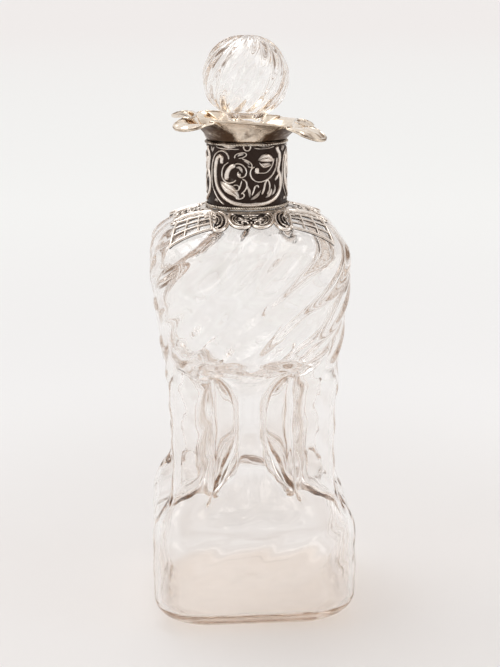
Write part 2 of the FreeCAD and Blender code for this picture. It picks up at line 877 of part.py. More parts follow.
def shoulder_mount(rings):
    low = mount_blank(rings, mount_clearance)
    field = mount_blank(rings, mount_clearance + mount_sheet * cartouche_field_share)
    high = mount_blank(rings, mount_clearance + mount_sheet)
    spray = mount_piece(spray_plan(0.0), high, low)
    around_spray = joined([upright(face) for face in spray_plan(piece_gap)])
    trellis = mount_piece(trellis_plan(), high, low).cut(around_spray)
    scroll = mount_piece(scroll_plan(), high, low).cut(around_spray)
    cartouche = mount_piece(cartouche_plan(), high, low)
    sunk = joined([upright(face) for face in cartouche_field()]).common(high).cut(field)
    cartouche = cartouche.cut(sunk)
    flange = mount_piece([flat_ring(flange_inner_radius, flange_outer_radius)], high, low, False)
    pieces = {"shoulder_flange": flange}
    corner_names = ("front_right", "back_right", "back_left", "front_left")
    side_names = ("front", "right", "back", "left")
    for quarter in range(4):
        corner = corner_names[quarter]
        pieces["trellis_" + corner] = turned_copy(trellis, quarter)
        pieces["leaf_spray_" + corner] = turned_copy(spray, quarter)
        pieces["cartouche_" + side_names[quarter]] = turned_copy(cartouche, quarter)
        pieces["scroll_" + side_names[quarter] + "_right"] = turned_copy(scroll, quarter)
        mirrored = scroll.mirror(Vector(0, 0, 0), Vector(1, 0, 0))
        pieces["scroll_" + side_names[quarter] + "_left"] = turned_copy(mirrored, quarter)
    return pieces


def build():
    rings = outer_rings()
    pieces = {
        "glass_body": glass_body(rings),
        "stopper": stopper(),
        "plaster_bedding": plaster_bedding(),
        "neck_collar": neck_collar(),
        "collar_top_wire": collar_top_wire(),
        "collar_base_wire": collar_base_wire(),
        "pouring_lip": pouring_lip(),
    }
    pieces.update(shoulder_mount(rings))
    return pieces


os.makedirs("parts", exist_ok=True)
for name, shape in build().items():
    if len(shape.Solids) != 1 or not shape.isValid():
        raise RuntimeError("piece " + name + " is not one valid solid")
    shape.Solids[0].exportStep("parts/" + name + ".step")
    print(name, round(shape.Volume, 1))
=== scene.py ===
# Silver-mounted glug glug decanter: ribbed glass bottle with a pinched waist, silver collar, lip and
# pierced shoulder mount, hollow ball stopper. Lengths in the dictionaries are millimetres.
import bpy
import math
import numpy as np
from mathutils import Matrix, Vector


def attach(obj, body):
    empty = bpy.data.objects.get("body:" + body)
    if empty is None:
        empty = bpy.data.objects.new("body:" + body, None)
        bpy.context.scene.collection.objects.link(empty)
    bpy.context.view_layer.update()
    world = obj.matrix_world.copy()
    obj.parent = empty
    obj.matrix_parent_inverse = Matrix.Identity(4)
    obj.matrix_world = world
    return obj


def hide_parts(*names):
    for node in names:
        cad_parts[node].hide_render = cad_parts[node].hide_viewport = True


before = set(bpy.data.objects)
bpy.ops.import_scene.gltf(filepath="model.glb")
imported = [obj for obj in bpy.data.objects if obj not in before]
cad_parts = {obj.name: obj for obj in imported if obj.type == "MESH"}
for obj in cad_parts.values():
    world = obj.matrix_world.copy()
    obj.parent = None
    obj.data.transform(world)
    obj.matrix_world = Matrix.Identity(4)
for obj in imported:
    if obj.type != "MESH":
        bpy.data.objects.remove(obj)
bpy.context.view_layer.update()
scene = bpy.context.scene
mm = 0.001


# small maths

def ease(share):
    share = np.clip(share, 0.0, 1.0)
    return share * share * (3.0 - 2.0 * share)


def mix(first, second, share):
    return first + (second - first) * share


def follow(stations, place):
    # smooth line through (place, value) pairs that never overshoots them
    xs, ys = (np.array(column, float) for column in zip(*stations))
    place = np.clip(np.asarray(place, float), xs[0], xs[-1])
    slopes = np.diff(ys) / np.diff(xs)
    before, after = slopes[:-1], slopes[1:]
    together = np.where(before + after == 0, 1, before + after)
    middle = np.where(before * after > 0, 2 * before * after / together, 0.0)
    tangents = np.concatenate([slopes[:1], middle, slopes[-1:]])
    i = np.clip(np.searchsorted(xs, place, side="right") - 1, 0, len(slopes) - 1)
    span = xs[i + 1] - xs[i]
    t = (place - xs[i]) / span
    start = (1 + 2 * t) * (1 - t) ** 2 * ys[i] + t * (1 - t) ** 2 * span * tangents[i]
    return start + t * t * (3 - 2 * t) * ys[i + 1] - t * t * (1 - t) * span * tangents[i + 1]


def lineTravel(points):
    # how far along a line each of its points lies
    return np.concatenate([[0.0], np.cumsum(np.linalg.norm(np.diff(points, axis=0), axis=1))])


def resample(points, count):
    points = np.array(points, float)
    lengths = lineTravel(points)
    places = np.linspace(0.0, lengths[-1], count)
    return np.stack([follow(list(zip(lengths, column)), places) for column in points.T], axis=1)


def along(points, share):
    place = np.clip(share, 0.0, 0.999999) * (len(points) - 1)
    i = place.astype(int)
    return points[i] + (points[i + 1] - points[i]) * (place - i)[:, None]


def polar(radius, degrees):
    return radius * np.cos(np.radians(degrees)), radius * np.sin(np.radians(degrees))


def unit(vectors):
    return vectors / np.maximum(np.linalg.norm(vectors, axis=-1, keepdims=True), 1e-12)


def roundTurns(count):
    return 2 * math.pi * np.arange(count) / count


def roundRings(levels, radii, columns):
    # rings round the axis from columns of heights and radii, anticlockwise from the front
    turns = roundTurns(columns) - math.pi / 2
    return np.stack(np.broadcast_arrays(radii * np.cos(turns), radii * np.sin(turns), levels), axis=-1)


def turned(profile, columns):
    # rings from (height, radius) pairs
    levels, radii = np.array(profile, float).T[..., None]
    return roundRings(levels, radii, columns)


# mesh helpers

def makePiece(name, replaces, slot, points, faceGroups, reliefAndShade=None, body="decanter"):
    # points in mm, faceGroups a list of (count, corners) index arrays, the last argument how raised each point is,
    # and on some pieces painted shade: low values come out dark
    mesh = bpy.data.meshes.new(name)
    mesh.vertices.add(len(points))
    mesh.vertices.foreach_set("co", (np.asarray(points, float) * mm).astype(np.float32).ravel())
    faceGroups = [np.asarray(group) for group in faceGroups]
    corners = np.concatenate([group.ravel() for group in faceGroups]).astype(np.int32)
    sizes = np.concatenate([np.full(len(group), group.shape[1]) for group in faceGroups])
    mesh.loops.add(len(corners))
    mesh.loops.foreach_set("vertex_index", corners)
    mesh.polygons.add(len(sizes))
    mesh.polygons.foreach_set("loop_start", (np.cumsum(sizes) - sizes).astype(np.int32))
    mesh.polygons.foreach_set("use_smooth", np.ones(len(sizes), bool))
    mesh.update(calc_edges=True)
    mesh.validate()
    piece = bpy.data.objects.new(name, mesh)
    scene.collection.objects.link(piece)
    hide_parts(*replaces)
    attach(piece, body)
    if reliefAndShade is not None:
        heights = mesh.attributes.new("reliefAndShade", "FLOAT", "POINT")
        heights.data.foreach_set("value", np.clip(reliefAndShade, 0.0, 1.0).astype(np.float32).ravel())
    return piece


def gridFaces(rows, columns, start=0, closeUp=False):
    # quads between rings that go anticlockwise seen from above, rows going up: they face out
    k, i = np.meshgrid(np.arange(rows if closeUp else rows - 1), np.arange(columns), indexing="ij")
    right, above = (i + 1) % columns, (k + 1) % rows
    quads = [k * columns + i, k * columns + right, above * columns + right, above * columns + i]
    return start + np.stack(quads, axis=-1).reshape(-1, 4)


def fanFaces(ring, centre, flip=False):
    fan = np.stack([ring, np.roll(ring, -1), np.full(len(ring), centre)], axis=1)
    return fan[:, ::-1] if flip else fan


def zipFaces(lower, lowerAngles, upper, upperAngles):
    # triangles between two rings with different counts, matched by angle
    a, b = np.argsort(lowerAngles), np.argsort(upperAngles)
    lower, lowerAngles = lower[a], lowerAngles[a]
    upper, upperAngles = upper[b], upperAngles[b]
    faces, i, j, n, m = [], 0, 0, len(lower), len(upper)
    while i < n or j < m:
        nextLower = lowerAngles[(i + 1) % n] + (2 * math.pi if i + 1 >= n else 0)
        nextUpper = upperAngles[(j + 1) % m] + (2 * math.pi if j + 1 >= m else 0)
        if j >= m or (i < n and nextLower <= nextUpper):
            faces.append((lower[i % n], lower[(i + 1) % n], upper[j % m]))
            i += 1
        else:
            faces.append((lower[i % n], upper[(j + 1) % m], upper[j % m]))
            j += 1
    return np.array(faces)


def ringNormals(rings):
    # outward normals of rings of points, rows going up
    aroundStep = np.roll(rings, -1, axis=1) - np.roll(rings, 1, axis=1)
    upStep = np.empty_like(rings)
    upStep[1:-1] = rings[2:] - rings[:-2]
    upStep[0], upStep[-1] = rings[1] - rings[0], rings[-1] - rings[-2]
    return unit(np.cross(aroundStep, upStep))


# camera

cameraSettings = {
    "distance": 650.0, "height": 294.0, "lens": 77.0,
    "pitch": 14.1,     # degrees down
    "turn": -3.5,      # degrees round the decanter
    "aside": 0.07,     # degrees that it looks past the axis
    "roll": -0.55,
}


def makeCamera():
    s = cameraSettings
    data = bpy.data.cameras.new("camera")
    data.lens = s["lens"]
    data.clip_start = 0.01
    camera = bpy.data.objects.new("camera", data)
    scene.collection.objects.link(camera)
    turn, away = math.radians(s["turn"]), s["distance"]
    camera.location = (away * math.sin(turn) * mm, -away * math.cos(turn) * mm, s["height"] * mm)
    camera.rotation_mode = "XYZ"
    camera.rotation_euler = (math.radians(90.0 - s["pitch"]), 0.0, turn - math.radians(s["aside"]))
    camera.rotation_euler.rotate_axis("Z", math.radians(s["roll"]))
    scene.camera = camera


makeCamera()
print("camera ready")

# outline of the bottle

bottle = {
    "baseHeight": 58.0, "waistTop": 122.0, "shoulderHeight": 170.0, "neckFoot": 191.5, "mouthHeight": 221.5,
    "baseHalfWidth": 46.9, "waistHalfWidth": 37.1, "bodyHalfWidth": 43.5, "neckRadius": 15.5,
    "footRounding": 14.0, "kickRadius": 20.0, "kickDepth": 0.5,
    "grooveDepth": 7.3, "webHalf": 2.7, "cornerTube": 9.4, "pinchLow": 46.0, "pinchHigh": 125.0,
    "ribCount": 16, "ribHeight": 0.8, "ribTurn": 290.0, "ribSharpness": 1.4, "ribLoss": 0.85,
    "insideRib": 0.5, "shoulderRib": 2.5,
    "wall": 2.6, "waistWall": 1.6, "foldWall": 3.1, "shoulderWall": 4.8, "fusedWall": 6.0, "thickest": 8.0,
    "floorExtra": 2.6, "floorDish": 0.5, "floorFillet": 4.0,
    "tubeInside": 29.9, "ovalReach": 29.9, "ovalWidth": 18.6, "ovalHeight": 87.0, "ovalHalfHeight": 29.3,
    "throatRadius": 9.0, "boreFoot": 194.5, "boreBottomRadius": 9.7, "boreTopRadius": 11.0,
    "outerRings": 330, "eighthSteps": 44, "netStep": 0.85,
}
footAngles = (0.0, 18.0, 36.0, 54.0, 72.0, 90.0)
footShares = (0.03, 0.15, 0.3, 0.45, 0.6, 0.7, 0.8, 0.9, 0.97)
# shares of height up a part of the bottle with shares of its width
baseShares = [(0.54, 1.0), (0.76, 0.994), (0.885, 0.968), (0.97, 0.915), (1.035, 0.853)]
waistShares = [(0.1, 1.025), (0.2, 1.004), (0.35, 1.0), (0.58, 1.003), (0.78, 1.018)]
upperShares = [(0.0, 0.898), (0.29, 0.928), (0.65, 0.967), (0.93, 0.999)]
shoulderShares = [(0.2, 0.985), (0.46, 0.875), (0.67, 0.69), (0.815, 0.46), (0.915, 0.235),
                  (1.0, 0.066), (1.12, 0.01)]
neckShares = [(0.25, 1.0), (0.6, 1.0), (1.0, 1.0)]
cornerShares = [(0.0, 0.5), (0.03, 0.4), (0.1, 0.34), (0.25, 0.33), (0.75, 0.38), (0.89, 0.43), (0.927, 0.5),
                (0.963, 0.64), (0.979, 0.76), (0.99, 0.88), (1.0, 1.0)]
centrePinch = [(0.0, 0.0), (0.05, 0.04), (0.11, 0.16), (0.165, 0.32), (0.25, 0.55), (0.34, 0.76), (0.43, 0.93),
               (0.49, 0.995), (0.53, 1.0), (0.66, 0.985), (0.74, 0.91), (0.81, 0.73), (0.86, 0.47),
               (0.905, 0.21), (0.95, 0.05), (1.0, 0.0)]
valleyPinch = [(0.0, 0.0), (0.04, 0.0), (0.11, 0.2), (0.17, 0.66), (0.225, 0.93), (0.28, 1.0), (0.81, 1.0),
               (0.875, 0.94), (0.92, 0.66), (0.96, 0.22), (1.0, 0.0)]
valleyShare = 0.42
ribShares = [(0.0, 0.0), (0.057, 0.0), (0.137, 0.4), (0.2, 0.41), (0.32, 0.7), (0.514, 1.0), (0.66, 1.5),
             (0.84, 2.5), (0.9, 1.9), (0.93, 1.1), (0.945, 1.0), (0.978, 0.6), (1.005, 0.0)]
# heights with the dictionary's names for the wall there
wallPlaces = [(42.0, "wall"), (52.0, "foldWall"), (64.0, "waistWall"), (112.0, "waistWall"),
              (125.0, "foldWall"), (136.0, "wall"), (156.0, "wall"), (172.0, "shoulderWall"), (195.0, "shoulderWall")]


def outerProfile():
    b = bottle
    profile = []
    for angle in footAngles:
        inward, upward = polar(b["footRounding"], angle)
        profile.append((b["footRounding"] - inward, b["baseHalfWidth"] - b["footRounding"] + upward))
    spans = [(0.0, b["baseHeight"], 0.0, b["baseHalfWidth"], baseShares),
             (b["baseHeight"], b["waistTop"], 0.0, b["waistHalfWidth"], waistShares),
             (b["waistTop"], b["shoulderHeight"], 0.0, b["bodyHalfWidth"], upperShares),
             (b["shoulderHeight"], b["neckFoot"], b["neckRadius"], b["bodyHalfWidth"], shoulderShares),
             (b["neckFoot"], b["mouthHeight"], 0.0, b["neckRadius"], neckShares)]
    for low, high, thin, wide, shares in spans:
        profile += [(mix(low, high, up), mix(thin, wide, out)) for up, out in shares]
    return profile


outerPlaces = resample(outerProfile(), 72)


def pinchedEighth():
    b = bottle
    centre = b["waistHalfWidth"] - b["cornerTube"]
    flank = b["webHalf"] * math.sqrt(2.0)
    webEnd = centre - b["cornerTube"] - b["webHalf"]
    points = [(0.0, b["grooveDepth"]), (b["grooveDepth"] * 0.3, b["grooveDepth"] * 1.004)]
    points += [(webEnd * share, webEnd * share + flank) for share in (0.31, 0.52, 0.76, 1.0)]
    for angle in (200.0, 175.0, 150.0, 125.0, 100.0, 80.0, 62.0, 45.0):
        acrossTube, outTube = polar(b["cornerTube"], angle)
        points.append((centre + acrossTube, centre + outTube))
    return resample(points, 49)


pinchedLine = pinchedEighth()


def eighthLine(height, share):
    # (across, out) of the bottle's section from the middle of a side to a corner
    b = bottle
    halfWidth = float(follow(outerPlaces, height))
    place = (height - b["pinchLow"]) / (b["pinchHigh"] - b["pinchLow"])
    centre, valley = float(follow(centrePinch, place)), float(follow(valleyPinch, place))
    radius = halfWidth * float(follow(cornerShares, height / b["neckFoot"]))
    straight = halfWidth - radius
    travel = share * (straight + radius * math.pi / 4)
    bend = np.maximum(travel - straight, 0.0) / radius
    across = np.minimum(travel, straight) + radius * np.sin(bend)
    plain = np.stack([across, straight + radius * np.cos(bend)], axis=1)
    drawn = mix(centre, valley, ease(share / valleyShare))[:, None]
    shift = (halfWidth - b["waistHalfWidth"]) * ease((share - valleyShare) / valleyShare)
    return mix(plain, along(pinchedLine, share) + shift[:, None], drawn)


def mirrored(eighth, third):
    # eight mirrored copies of one eighth and its third values, anticlockwise from the middle of the front
    steps = len(eighth) - 1
    third = np.broadcast_to(third, len(eighth))
    ring = []
    for i in range(8 * steps):
        side, place = divmod(i / steps + 1.0, 2.0)
        k = int(round(abs(place - 1.0) * steps))
        across, out = math.copysign(eighth[k][0], place - 1.0), eighth[k][1]
        cosine, sine = math.cos(side * math.pi / 2), math.sin(side * math.pi / 2)
        ring.append((across * cosine + out * sine, across * sine - out * cosine, third[k]))
    return np.array(ring)


def bottleRings(heights):
    shares = np.linspace(0.0, 1.0, bottle["eighthSteps"] + 1)
    return np.array([mirrored(eighthLine(height, shares), height) for height in heights])


def ribWave(roundShare, height):
    phase = bottle["ribCount"] * (roundShare - height / bottle["ribTurn"])
    return (0.5 * (1 + np.cos(2 * math.pi * phase))) ** bottle["ribSharpness"]


def ribLift(heights):
    return bottle["ribHeight"] * follow(ribShares, heights / bottle["neckFoot"])


def keptRib(heights, towardsCorner):
    # share of the ribs that is left: they were smoothed out where the sides were pressed in
    b = bottle
    place = (np.clip(heights, b["pinchLow"], b["pinchHigh"]) - b["pinchLow"]) / (b["pinchHigh"] - b["pinchLow"])
    return 1.0 - b["ribLoss"] * follow(valleyPinch, place) * (1.0 - ease(towardsCorner))


def outerShell():
    heights = resample(outerPlaces, bottle["outerRings"])[:, 0]
    heights[0], heights[-1] = 0.0, bottle["mouthHeight"]
    rings = bottleRings(heights)
    heights = heights[:, None]
    roundShare = np.arange(rings.shape[1]) / rings.shape[1]
    fromMiddle = np.abs((8 * roundShare + 1) % 2 - 1)
    lift = ribLift(heights) * ribWave(roundShare, heights) * keptRib(heights, (fromMiddle - 0.4) / 0.3)
    return rings + ringNormals(rings) * lift[..., None]


# hollow of the bottle

def distanceToEighth(points, line):
    # how deep each point lies inside the section, 0 outside it
    start, run = line[:-1], np.diff(line, axis=0)
    offset = points[:, None] - start[None]
    share = np.clip((offset * run[None]).sum(-1) / (run ** 2).sum(-1)[None], 0.0, 1.0)
    nearest = np.sqrt(((offset - share[..., None] * run[None]) ** 2).sum(-1).min(1))
    corners = np.concatenate([[(0.0, 0.0)], line])
    (x, y), (aheadX, aheadY) = corners.T, np.roll(corners, -1, axis=0).T
    across, out = points[:, :1], points[:, 1:]
    rise = np.where(aheadY == y, 1e-9, aheadY - y)
    crossing = x + (out - y) * ((aheadX - x) / rise)
    inside = (((y > out) != (aheadY > out)) & (across < crossing)).sum(1) % 2 == 1
    return np.where(inside, nearest, 0.0)


def hollowField():
    # on a grid: over 0 inside the hollow, under 0 in the glass and outside it
    b = bottle
    step = b["netStep"]
    reach = int(math.ceil((b["baseHalfWidth"] + 1.1) / step))
    levels = int(round((b["mouthHeight"] + 1.0) / step)) + 1
    axis = np.arange(reach + 1) * step
    heights = np.arange(levels) * step
    low, high = np.triu_indices(reach + 1)
    points = np.stack([axis[low] + 1e-4, axis[high] + 2e-4], axis=1)
    shares = np.linspace(0.0, 1.0, 97)
    slices = np.zeros((levels, reach + 1, reach + 1))
    for k, height in enumerate(heights[1:], 1):
        depth = distanceToEighth(points, eighthLine(min(height, b["mouthHeight"]), shares))
        slices[k, low, high] = slices[k, high, low] = depth
    near = int(math.ceil(b["thickest"] / step))
    below = np.zeros((near,) + slices.shape[1:])
    padded = np.concatenate([below, slices, np.repeat(slices[-1:], near, axis=0)])
    squares = np.full(slices.shape, 1e9)
    for k in range(-near, near + 1):
        squares = np.minimum(squares, padded[near + k:near + k + levels] ** 2 + (k * step) ** 2)
    # the facing walls have fused inside an oval on each diagonal, so the hollow ends in a crease along it
    diagonal = (axis[:, None] + axis)[None] * math.sqrt(0.5)
    oval = ((diagonal - b["ovalReach"]) / b["ovalWidth"]) ** 2
    oval = oval + ((heights - b["ovalHeight"]) / b["ovalHalfHeight"])[:, None, None] ** 2
    fused = ease((1.0 - oval) / 0.16) * (1.0 - ease((diagonal - b["tubeInside"]) / 2.0))
    wall = follow([(height, b[name]) for height, name in wallPlaces], heights)
    field = np.sqrt(squares) - wall[:, None, None] - b["fusedWall"] * fused
    radius = np.hypot(axis[:, None], axis)[None]
    dish = b["floorDish"] * (radius / b["baseHalfWidth"]) ** 6
    overFloor = (heights - b["wall"] - b["floorExtra"])[:, None, None] - dish
    fillet = np.clip(1.0 - np.abs(field - overFloor) / b["floorFillet"], 0.0, 1.0)
    field = np.minimum(field, overFloor) - 0.25 * b["floorFillet"] * fillet ** 2
    foot, throat = b["neckFoot"], b["throatRadius"]
    limit = [(foot - 16.0, 90.0), (foot - 10.0, 50.0), (foot - 2.4, 14.3), (foot, 10.3), (foot + 1.8, throat),
             (b["boreFoot"], throat), (b["boreFoot"] + 0.6, b["boreBottomRadius"]),
             (b["mouthHeight"], b["boreTopRadius"])]
    field = np.minimum(field, follow(limit, heights)[:, None, None] - radius)
    quarter = np.transpose(field, (1, 2, 0))
    half = np.concatenate([quarter[:0:-1], quarter])
    return np.concatenate([half[:, :0:-1], half], axis=1), -reach * step


def surfaceNet(field, step, corner):
    # one point in each cell that the surface crosses, quads facing the hollow
    cells = tuple(n - 1 for n in field.shape)
    total, count = np.zeros(cells + (3,), np.float32), np.zeros(cells, np.float32)
    crossings = []
    for axis in range(3):
        line = np.moveaxis(field, axis, 0)
        first, second = line[:-1], line[1:]
        crossed = (first > 0) != (second > 0)
        share = np.where(crossed, first / np.where(crossed, first - second, 1.0), 0.0)
        crossings.append((crossed, second > 0))
        wide, deep = (n for a, n in enumerate(cells) if a != axis)
        view, counts = np.moveaxis(total, axis, 0), np.moveaxis(count, axis, 0)
        others = [a for a in range(3) if a != axis]
        for p, q in ((0, 0), (0, 1), (1, 0), (1, 1)):
            part = crossed[:, p:p + wide, q:q + deep]
            view[..., axis] += share[:, p:p + wide, q:q + deep]
            view[..., others[0]] += part * p
            view[..., others[1]] += part * q
            counts += part
    used = count > 0
    index = np.full(cells, -1)
    index[used] = np.arange(used.sum())
    places = np.argwhere(used) + total[used] / count[used][:, None]
    quads = []
    for axis, (crossed, highInside) in enumerate(crossings):
        around = np.moveaxis(index, axis, 0)
        i, j, k = np.nonzero(crossed[:, 1:-1, 1:-1])
        ring = [around[i, j, k], around[i, j + 1, k], around[i, j + 1, k + 1], around[i, j, k + 1]]
        quad = np.stack(ring, axis=1)
        # y's neighbours come as x, z, which is the other way round
        flip = highInside[:, 1:-1, 1:-1][i, j, k] != (axis == 1)
        quads.append(np.where(flip[:, None], quad, quad[:, ::-1]))
    return places * step + np.array(corner), np.concatenate(quads)


def smoothed(points, quads, fixed, rounds):
    a = quads.T.ravel()
    b = np.roll(quads, -1, axis=1).T.ravel()
    a, b = np.concatenate([a, b]), np.concatenate([b, a])
    count = np.bincount(a, minlength=len(points))[:, None]
    points = points.copy()
    for share in (0.5, -0.52) * rounds:
        mean = np.stack([np.bincount(a, points[b, c], len(points)) for c in range(3)], axis=1) / count
        move = (mean - points) * share
        move[fixed] = 0
        points += move
    return points


def vertexNormals(points, quads):
    p, q, r, s = (points[column] for column in quads.T)
    across = np.repeat(np.cross(r - p, s - q), 4, axis=0)
    return unit(np.stack([np.bincount(quads.ravel(), across[:, c], len(points)) for c in range(3)], axis=1))


def makeBottle():
    b = bottle
    outer = outerShell()
    columns = outer.shape[1]
    foot = np.array([outer[0] * share for share in footShares])
    sphere = (b["kickRadius"] ** 2 + b["kickDepth"] ** 2) / (2 * b["kickDepth"])
    away = np.hypot(foot[..., 0], foot[..., 1])
    foot[..., 2] = np.maximum(b["kickDepth"] - sphere + np.sqrt(sphere ** 2 - away ** 2), 0.0)
    outer = np.concatenate([foot, outer])
    centre = len(outer) * columns
    field, corner = hollowField()
    net, quads = surfaceNet(field, b["netStep"], (corner, corner, 0.0))
    rim = np.nonzero(net[:, 2] > net[:, 2].max() - 0.5 * b["netStep"])[0]
    net = smoothed(net, quads, rim, 9)
    normals = vertexNormals(net, quads)
    x, y, height = net.T
    depth = b["insideRib"] * follow(ribShares, height / b["neckFoot"])
    depth = depth * follow([(150.0, 1.0), (172.0, b["shoulderRib"]), (185.0, b["shoulderRib"])], height)
    depth = depth * keptRib(height, (np.hypot(x, y) - 26.0) / 8.0)
    wave = ribWave((np.arctan2(x, -y) / (2 * math.pi)) % 1.0, height)
    net = net - normals * (depth * (wave - 0.5))[:, None]
    net[rim, :2] *= (b["boreTopRadius"] / np.hypot(net[rim, 0], net[rim, 1]))[:, None]
    net[rim, 2] = b["mouthHeight"]
    start = centre + 1
    top = np.arange(centre - columns, centre)
    topAngles = np.arctan2(outer[-1, :, 1], outer[-1, :, 0])
    faces = [gridFaces(len(outer), columns), fanFaces(np.arange(columns), centre, flip=True), quads + start,
             zipFaces(top, topAngles, rim + start, np.arctan2(net[rim, 1], net[rim, 0]))]
    points = np.concatenate([outer.reshape(-1, 3), [(0.0, 0.0, b["kickDepth"])], net])
    print("bottle", len(points), "points,", len(rim), "on the mouth's rim")
    return makePiece("bottle_glass_body", ("glass_body",), "bottle_glass", points, faces)


# stopper

stopper = {
    "clearance": 0.05, "pegFoot": 196.0, "pegTop": 220.7, "chamfer": 0.5, "neckRadius": 8.2,
    "ballRadius": 18.87, "ballHeight": 249.3, "wall": 2.4, "startAngle": 30.0, "endAngle": 177.0,
    "ribCount": 16, "ribHeight": 0.75, "twist": 0.3, "hollowRadius": 4.5,
    "columns": 384, "rows": 170,
}
stopperNeckShares = [(0.0, 1.0), (0.4, 1.0), (0.8, 0.98), (1.0, 1.0)]
ballRibShares = [(0.0, 0.0), (0.3, 0.0), (0.42, 1.0), (0.82, 1.0), (0.97, 0.25), (1.0, 0.0)]


def pegRadius(height):
    # the ground peg fits the bottle's bore
    b = bottle
    share = (height - b["boreFoot"]) / (b["mouthHeight"] - b["boreFoot"])
    return mix(b["boreBottomRadius"], b["boreTopRadius"], share) - stopper["clearance"]


def ballArc(radius, angles):
    down, out = polar(radius, angles)
    return list(zip(stopper["ballHeight"] - down, out))


def makeStopper():
    s = stopper
    columns, foot, top, cut = s["columns"], s["pegFoot"], s["pegTop"], s["chamfer"]
    neckBottom, ballBottom = top - s["neckRadius"] / 2, s["ballHeight"] - s["ballRadius"]
    profile = [(mix(neckBottom, ballBottom, up), s["neckRadius"] * out) for up, out in stopperNeckShares]
    profile += ballArc(s["ballRadius"], mix(s["startAngle"], s["endAngle"], np.arange(12) / 11))
    rings = turned(resample(profile, s["rows"]), columns)
    upShare = np.linspace(0.0, 1.0, s["rows"])[:, None]
    wave = 0.5 * (1 + np.cos(s["ribCount"] * (roundTurns(columns) - 2 * math.pi * s["twist"] * upShare)))
    lift = s["ribHeight"] * follow(ballRibShares, upShare) * wave
    outside = rings + ringNormals(rings) * lift[..., None]
    outside = outside[outside[:, :, 2].min(1) > top + 0.4]
    peg = [(foot, s["hollowRadius"] + 0.3), (foot, pegRadius(foot) - cut), (foot + cut, pegRadius(foot))]
    peg += [(height, pegRadius(height)) for height in np.linspace(foot + 2.0, top - cut, 12)]
    peg += [(top, pegRadius(top) - cut), (top, s["neckRadius"] + 0.8), (top + 0.15, s["neckRadius"] + 0.25)]
    innerRadius = s["ballRadius"] - s["wall"]
    neckAngle = math.degrees(math.asin(s["hollowRadius"] / innerRadius))
    inner = ballArc(innerRadius, np.linspace(178.5, neckAngle + 9.0, 60))
    lowEnd = inner[-1][0]
    for share in (0.35, 0.7, 1.0):
        inner.append((lowEnd - 2.4 * share, mix(inner[-1][1], s["hollowRadius"], share)))
    inner += [(height, s["hollowRadius"]) for height in np.linspace(lowEnd - 4.0, foot + 0.3, 20)]
    # down the inside from the crown, round the peg's foot and up the outside to the crown
    rings = np.concatenate([turned(inner, columns), turned(peg, columns), outside])
    last = len(rings) * columns
    crowns = [(0.0, 0.0, rings[0, 0, 2] + 0.01), (0.0, 0.0, rings[-1, 0, 2] + 0.02)]
    faces = [gridFaces(len(rings), columns), fanFaces(np.arange(columns), last, flip=True),
             fanFaces(np.arange(last - columns, last), last + 1)]
    points = np.concatenate([rings.reshape(-1, 3), crowns])
    return makePiece("ball_stopper", ("stopper",), "stopper_glass", points, faces, body="stopper")


# strips, leaves and domes that lie on a surface

underside = 0.02    # mm between the glass and the silver that lies on it


def smoothLine(points, spacing):
    # a soft curve through given points
    points = np.array(points, float)
    ends = np.concatenate([[2 * points[0] - points[1]], points, [2 * points[-1] - points[-2]]])
    made = []
    for a, b, c, d in zip(ends, ends[1:], ends[2:], ends[3:]):
        count = max(2, int(math.dist(b, c) / spacing))
        t = (np.arange(count) / count)[:, None]
        squared, cubed = (2 * a - 5 * b + 4 * c - d) * t ** 2, (3 * b - a - 3 * c + d) * t ** 3
        made.append(0.5 * (2 * b + (c - a) * t + squared + cubed))
    return np.concatenate(made + [points[-1:]])


def strokeShape(line, kind, taper):
    # shares of full width and of full height along a line
    travel = lineTravel(line)
    if kind == "leaf":
        wide = np.sin(math.pi * travel / travel[-1]).clip(0.0) ** 0.65
        return np.maximum(wide, 0.06), 0.35 + 0.65 * wide
    thin = np.minimum(ease(travel / taper + 0.08), ease((travel[-1] - travel) / taper + 0.08))
    return 0.12 + 0.88 * thin, 0.25 + 0.75 * thin


def crossShape(s, kind):
    # height across a stroke, s from -1 to 1
    dome = np.sqrt(np.clip(1.0 - s * s, 0.0, 1.0))
    return dome ** 0.7 * (1.0 - 0.45 * np.exp(-(s / 0.16) ** 2)) if kind == "leaf" else dome ** 0.8


def strip(points, width, height, kind, base, taper=1.2):
    # a closed strip along a line, domed across, with its underside on the shoulder
    line = smoothLine(points, 0.32)
    ahead = unit(np.gradient(line, axis=0))
    aside = np.stack([-ahead[:, 1], ahead[:, 0]], axis=1)
    wide, high = strokeShape(line, kind, taper)
    s = np.concatenate([np.cos(np.linspace(0.0, math.pi, 9)), [-0.5, 0.5]])
    feet, normals = onShoulder(line[:, None] + (aside * (0.5 * width * wide)[:, None])[:, None] * s[:, None])
    lift = base + height * high[:, None] * crossShape(s, kind)
    lift[:, -2:] = underside
    rows, columns = lift.shape
    ring = np.arange(columns)
    faces = [gridFaces(rows, columns), ring[None, ::-1], (rows - 1) * columns + ring[None]]
    # the lift in mm goes out as the relief value, so the low edges by the glass come out dark: tarnish there, and
    # painted shade in the crevice
    return (feet + normals * lift[..., None]).reshape(-1, 3), faces, lift.ravel()


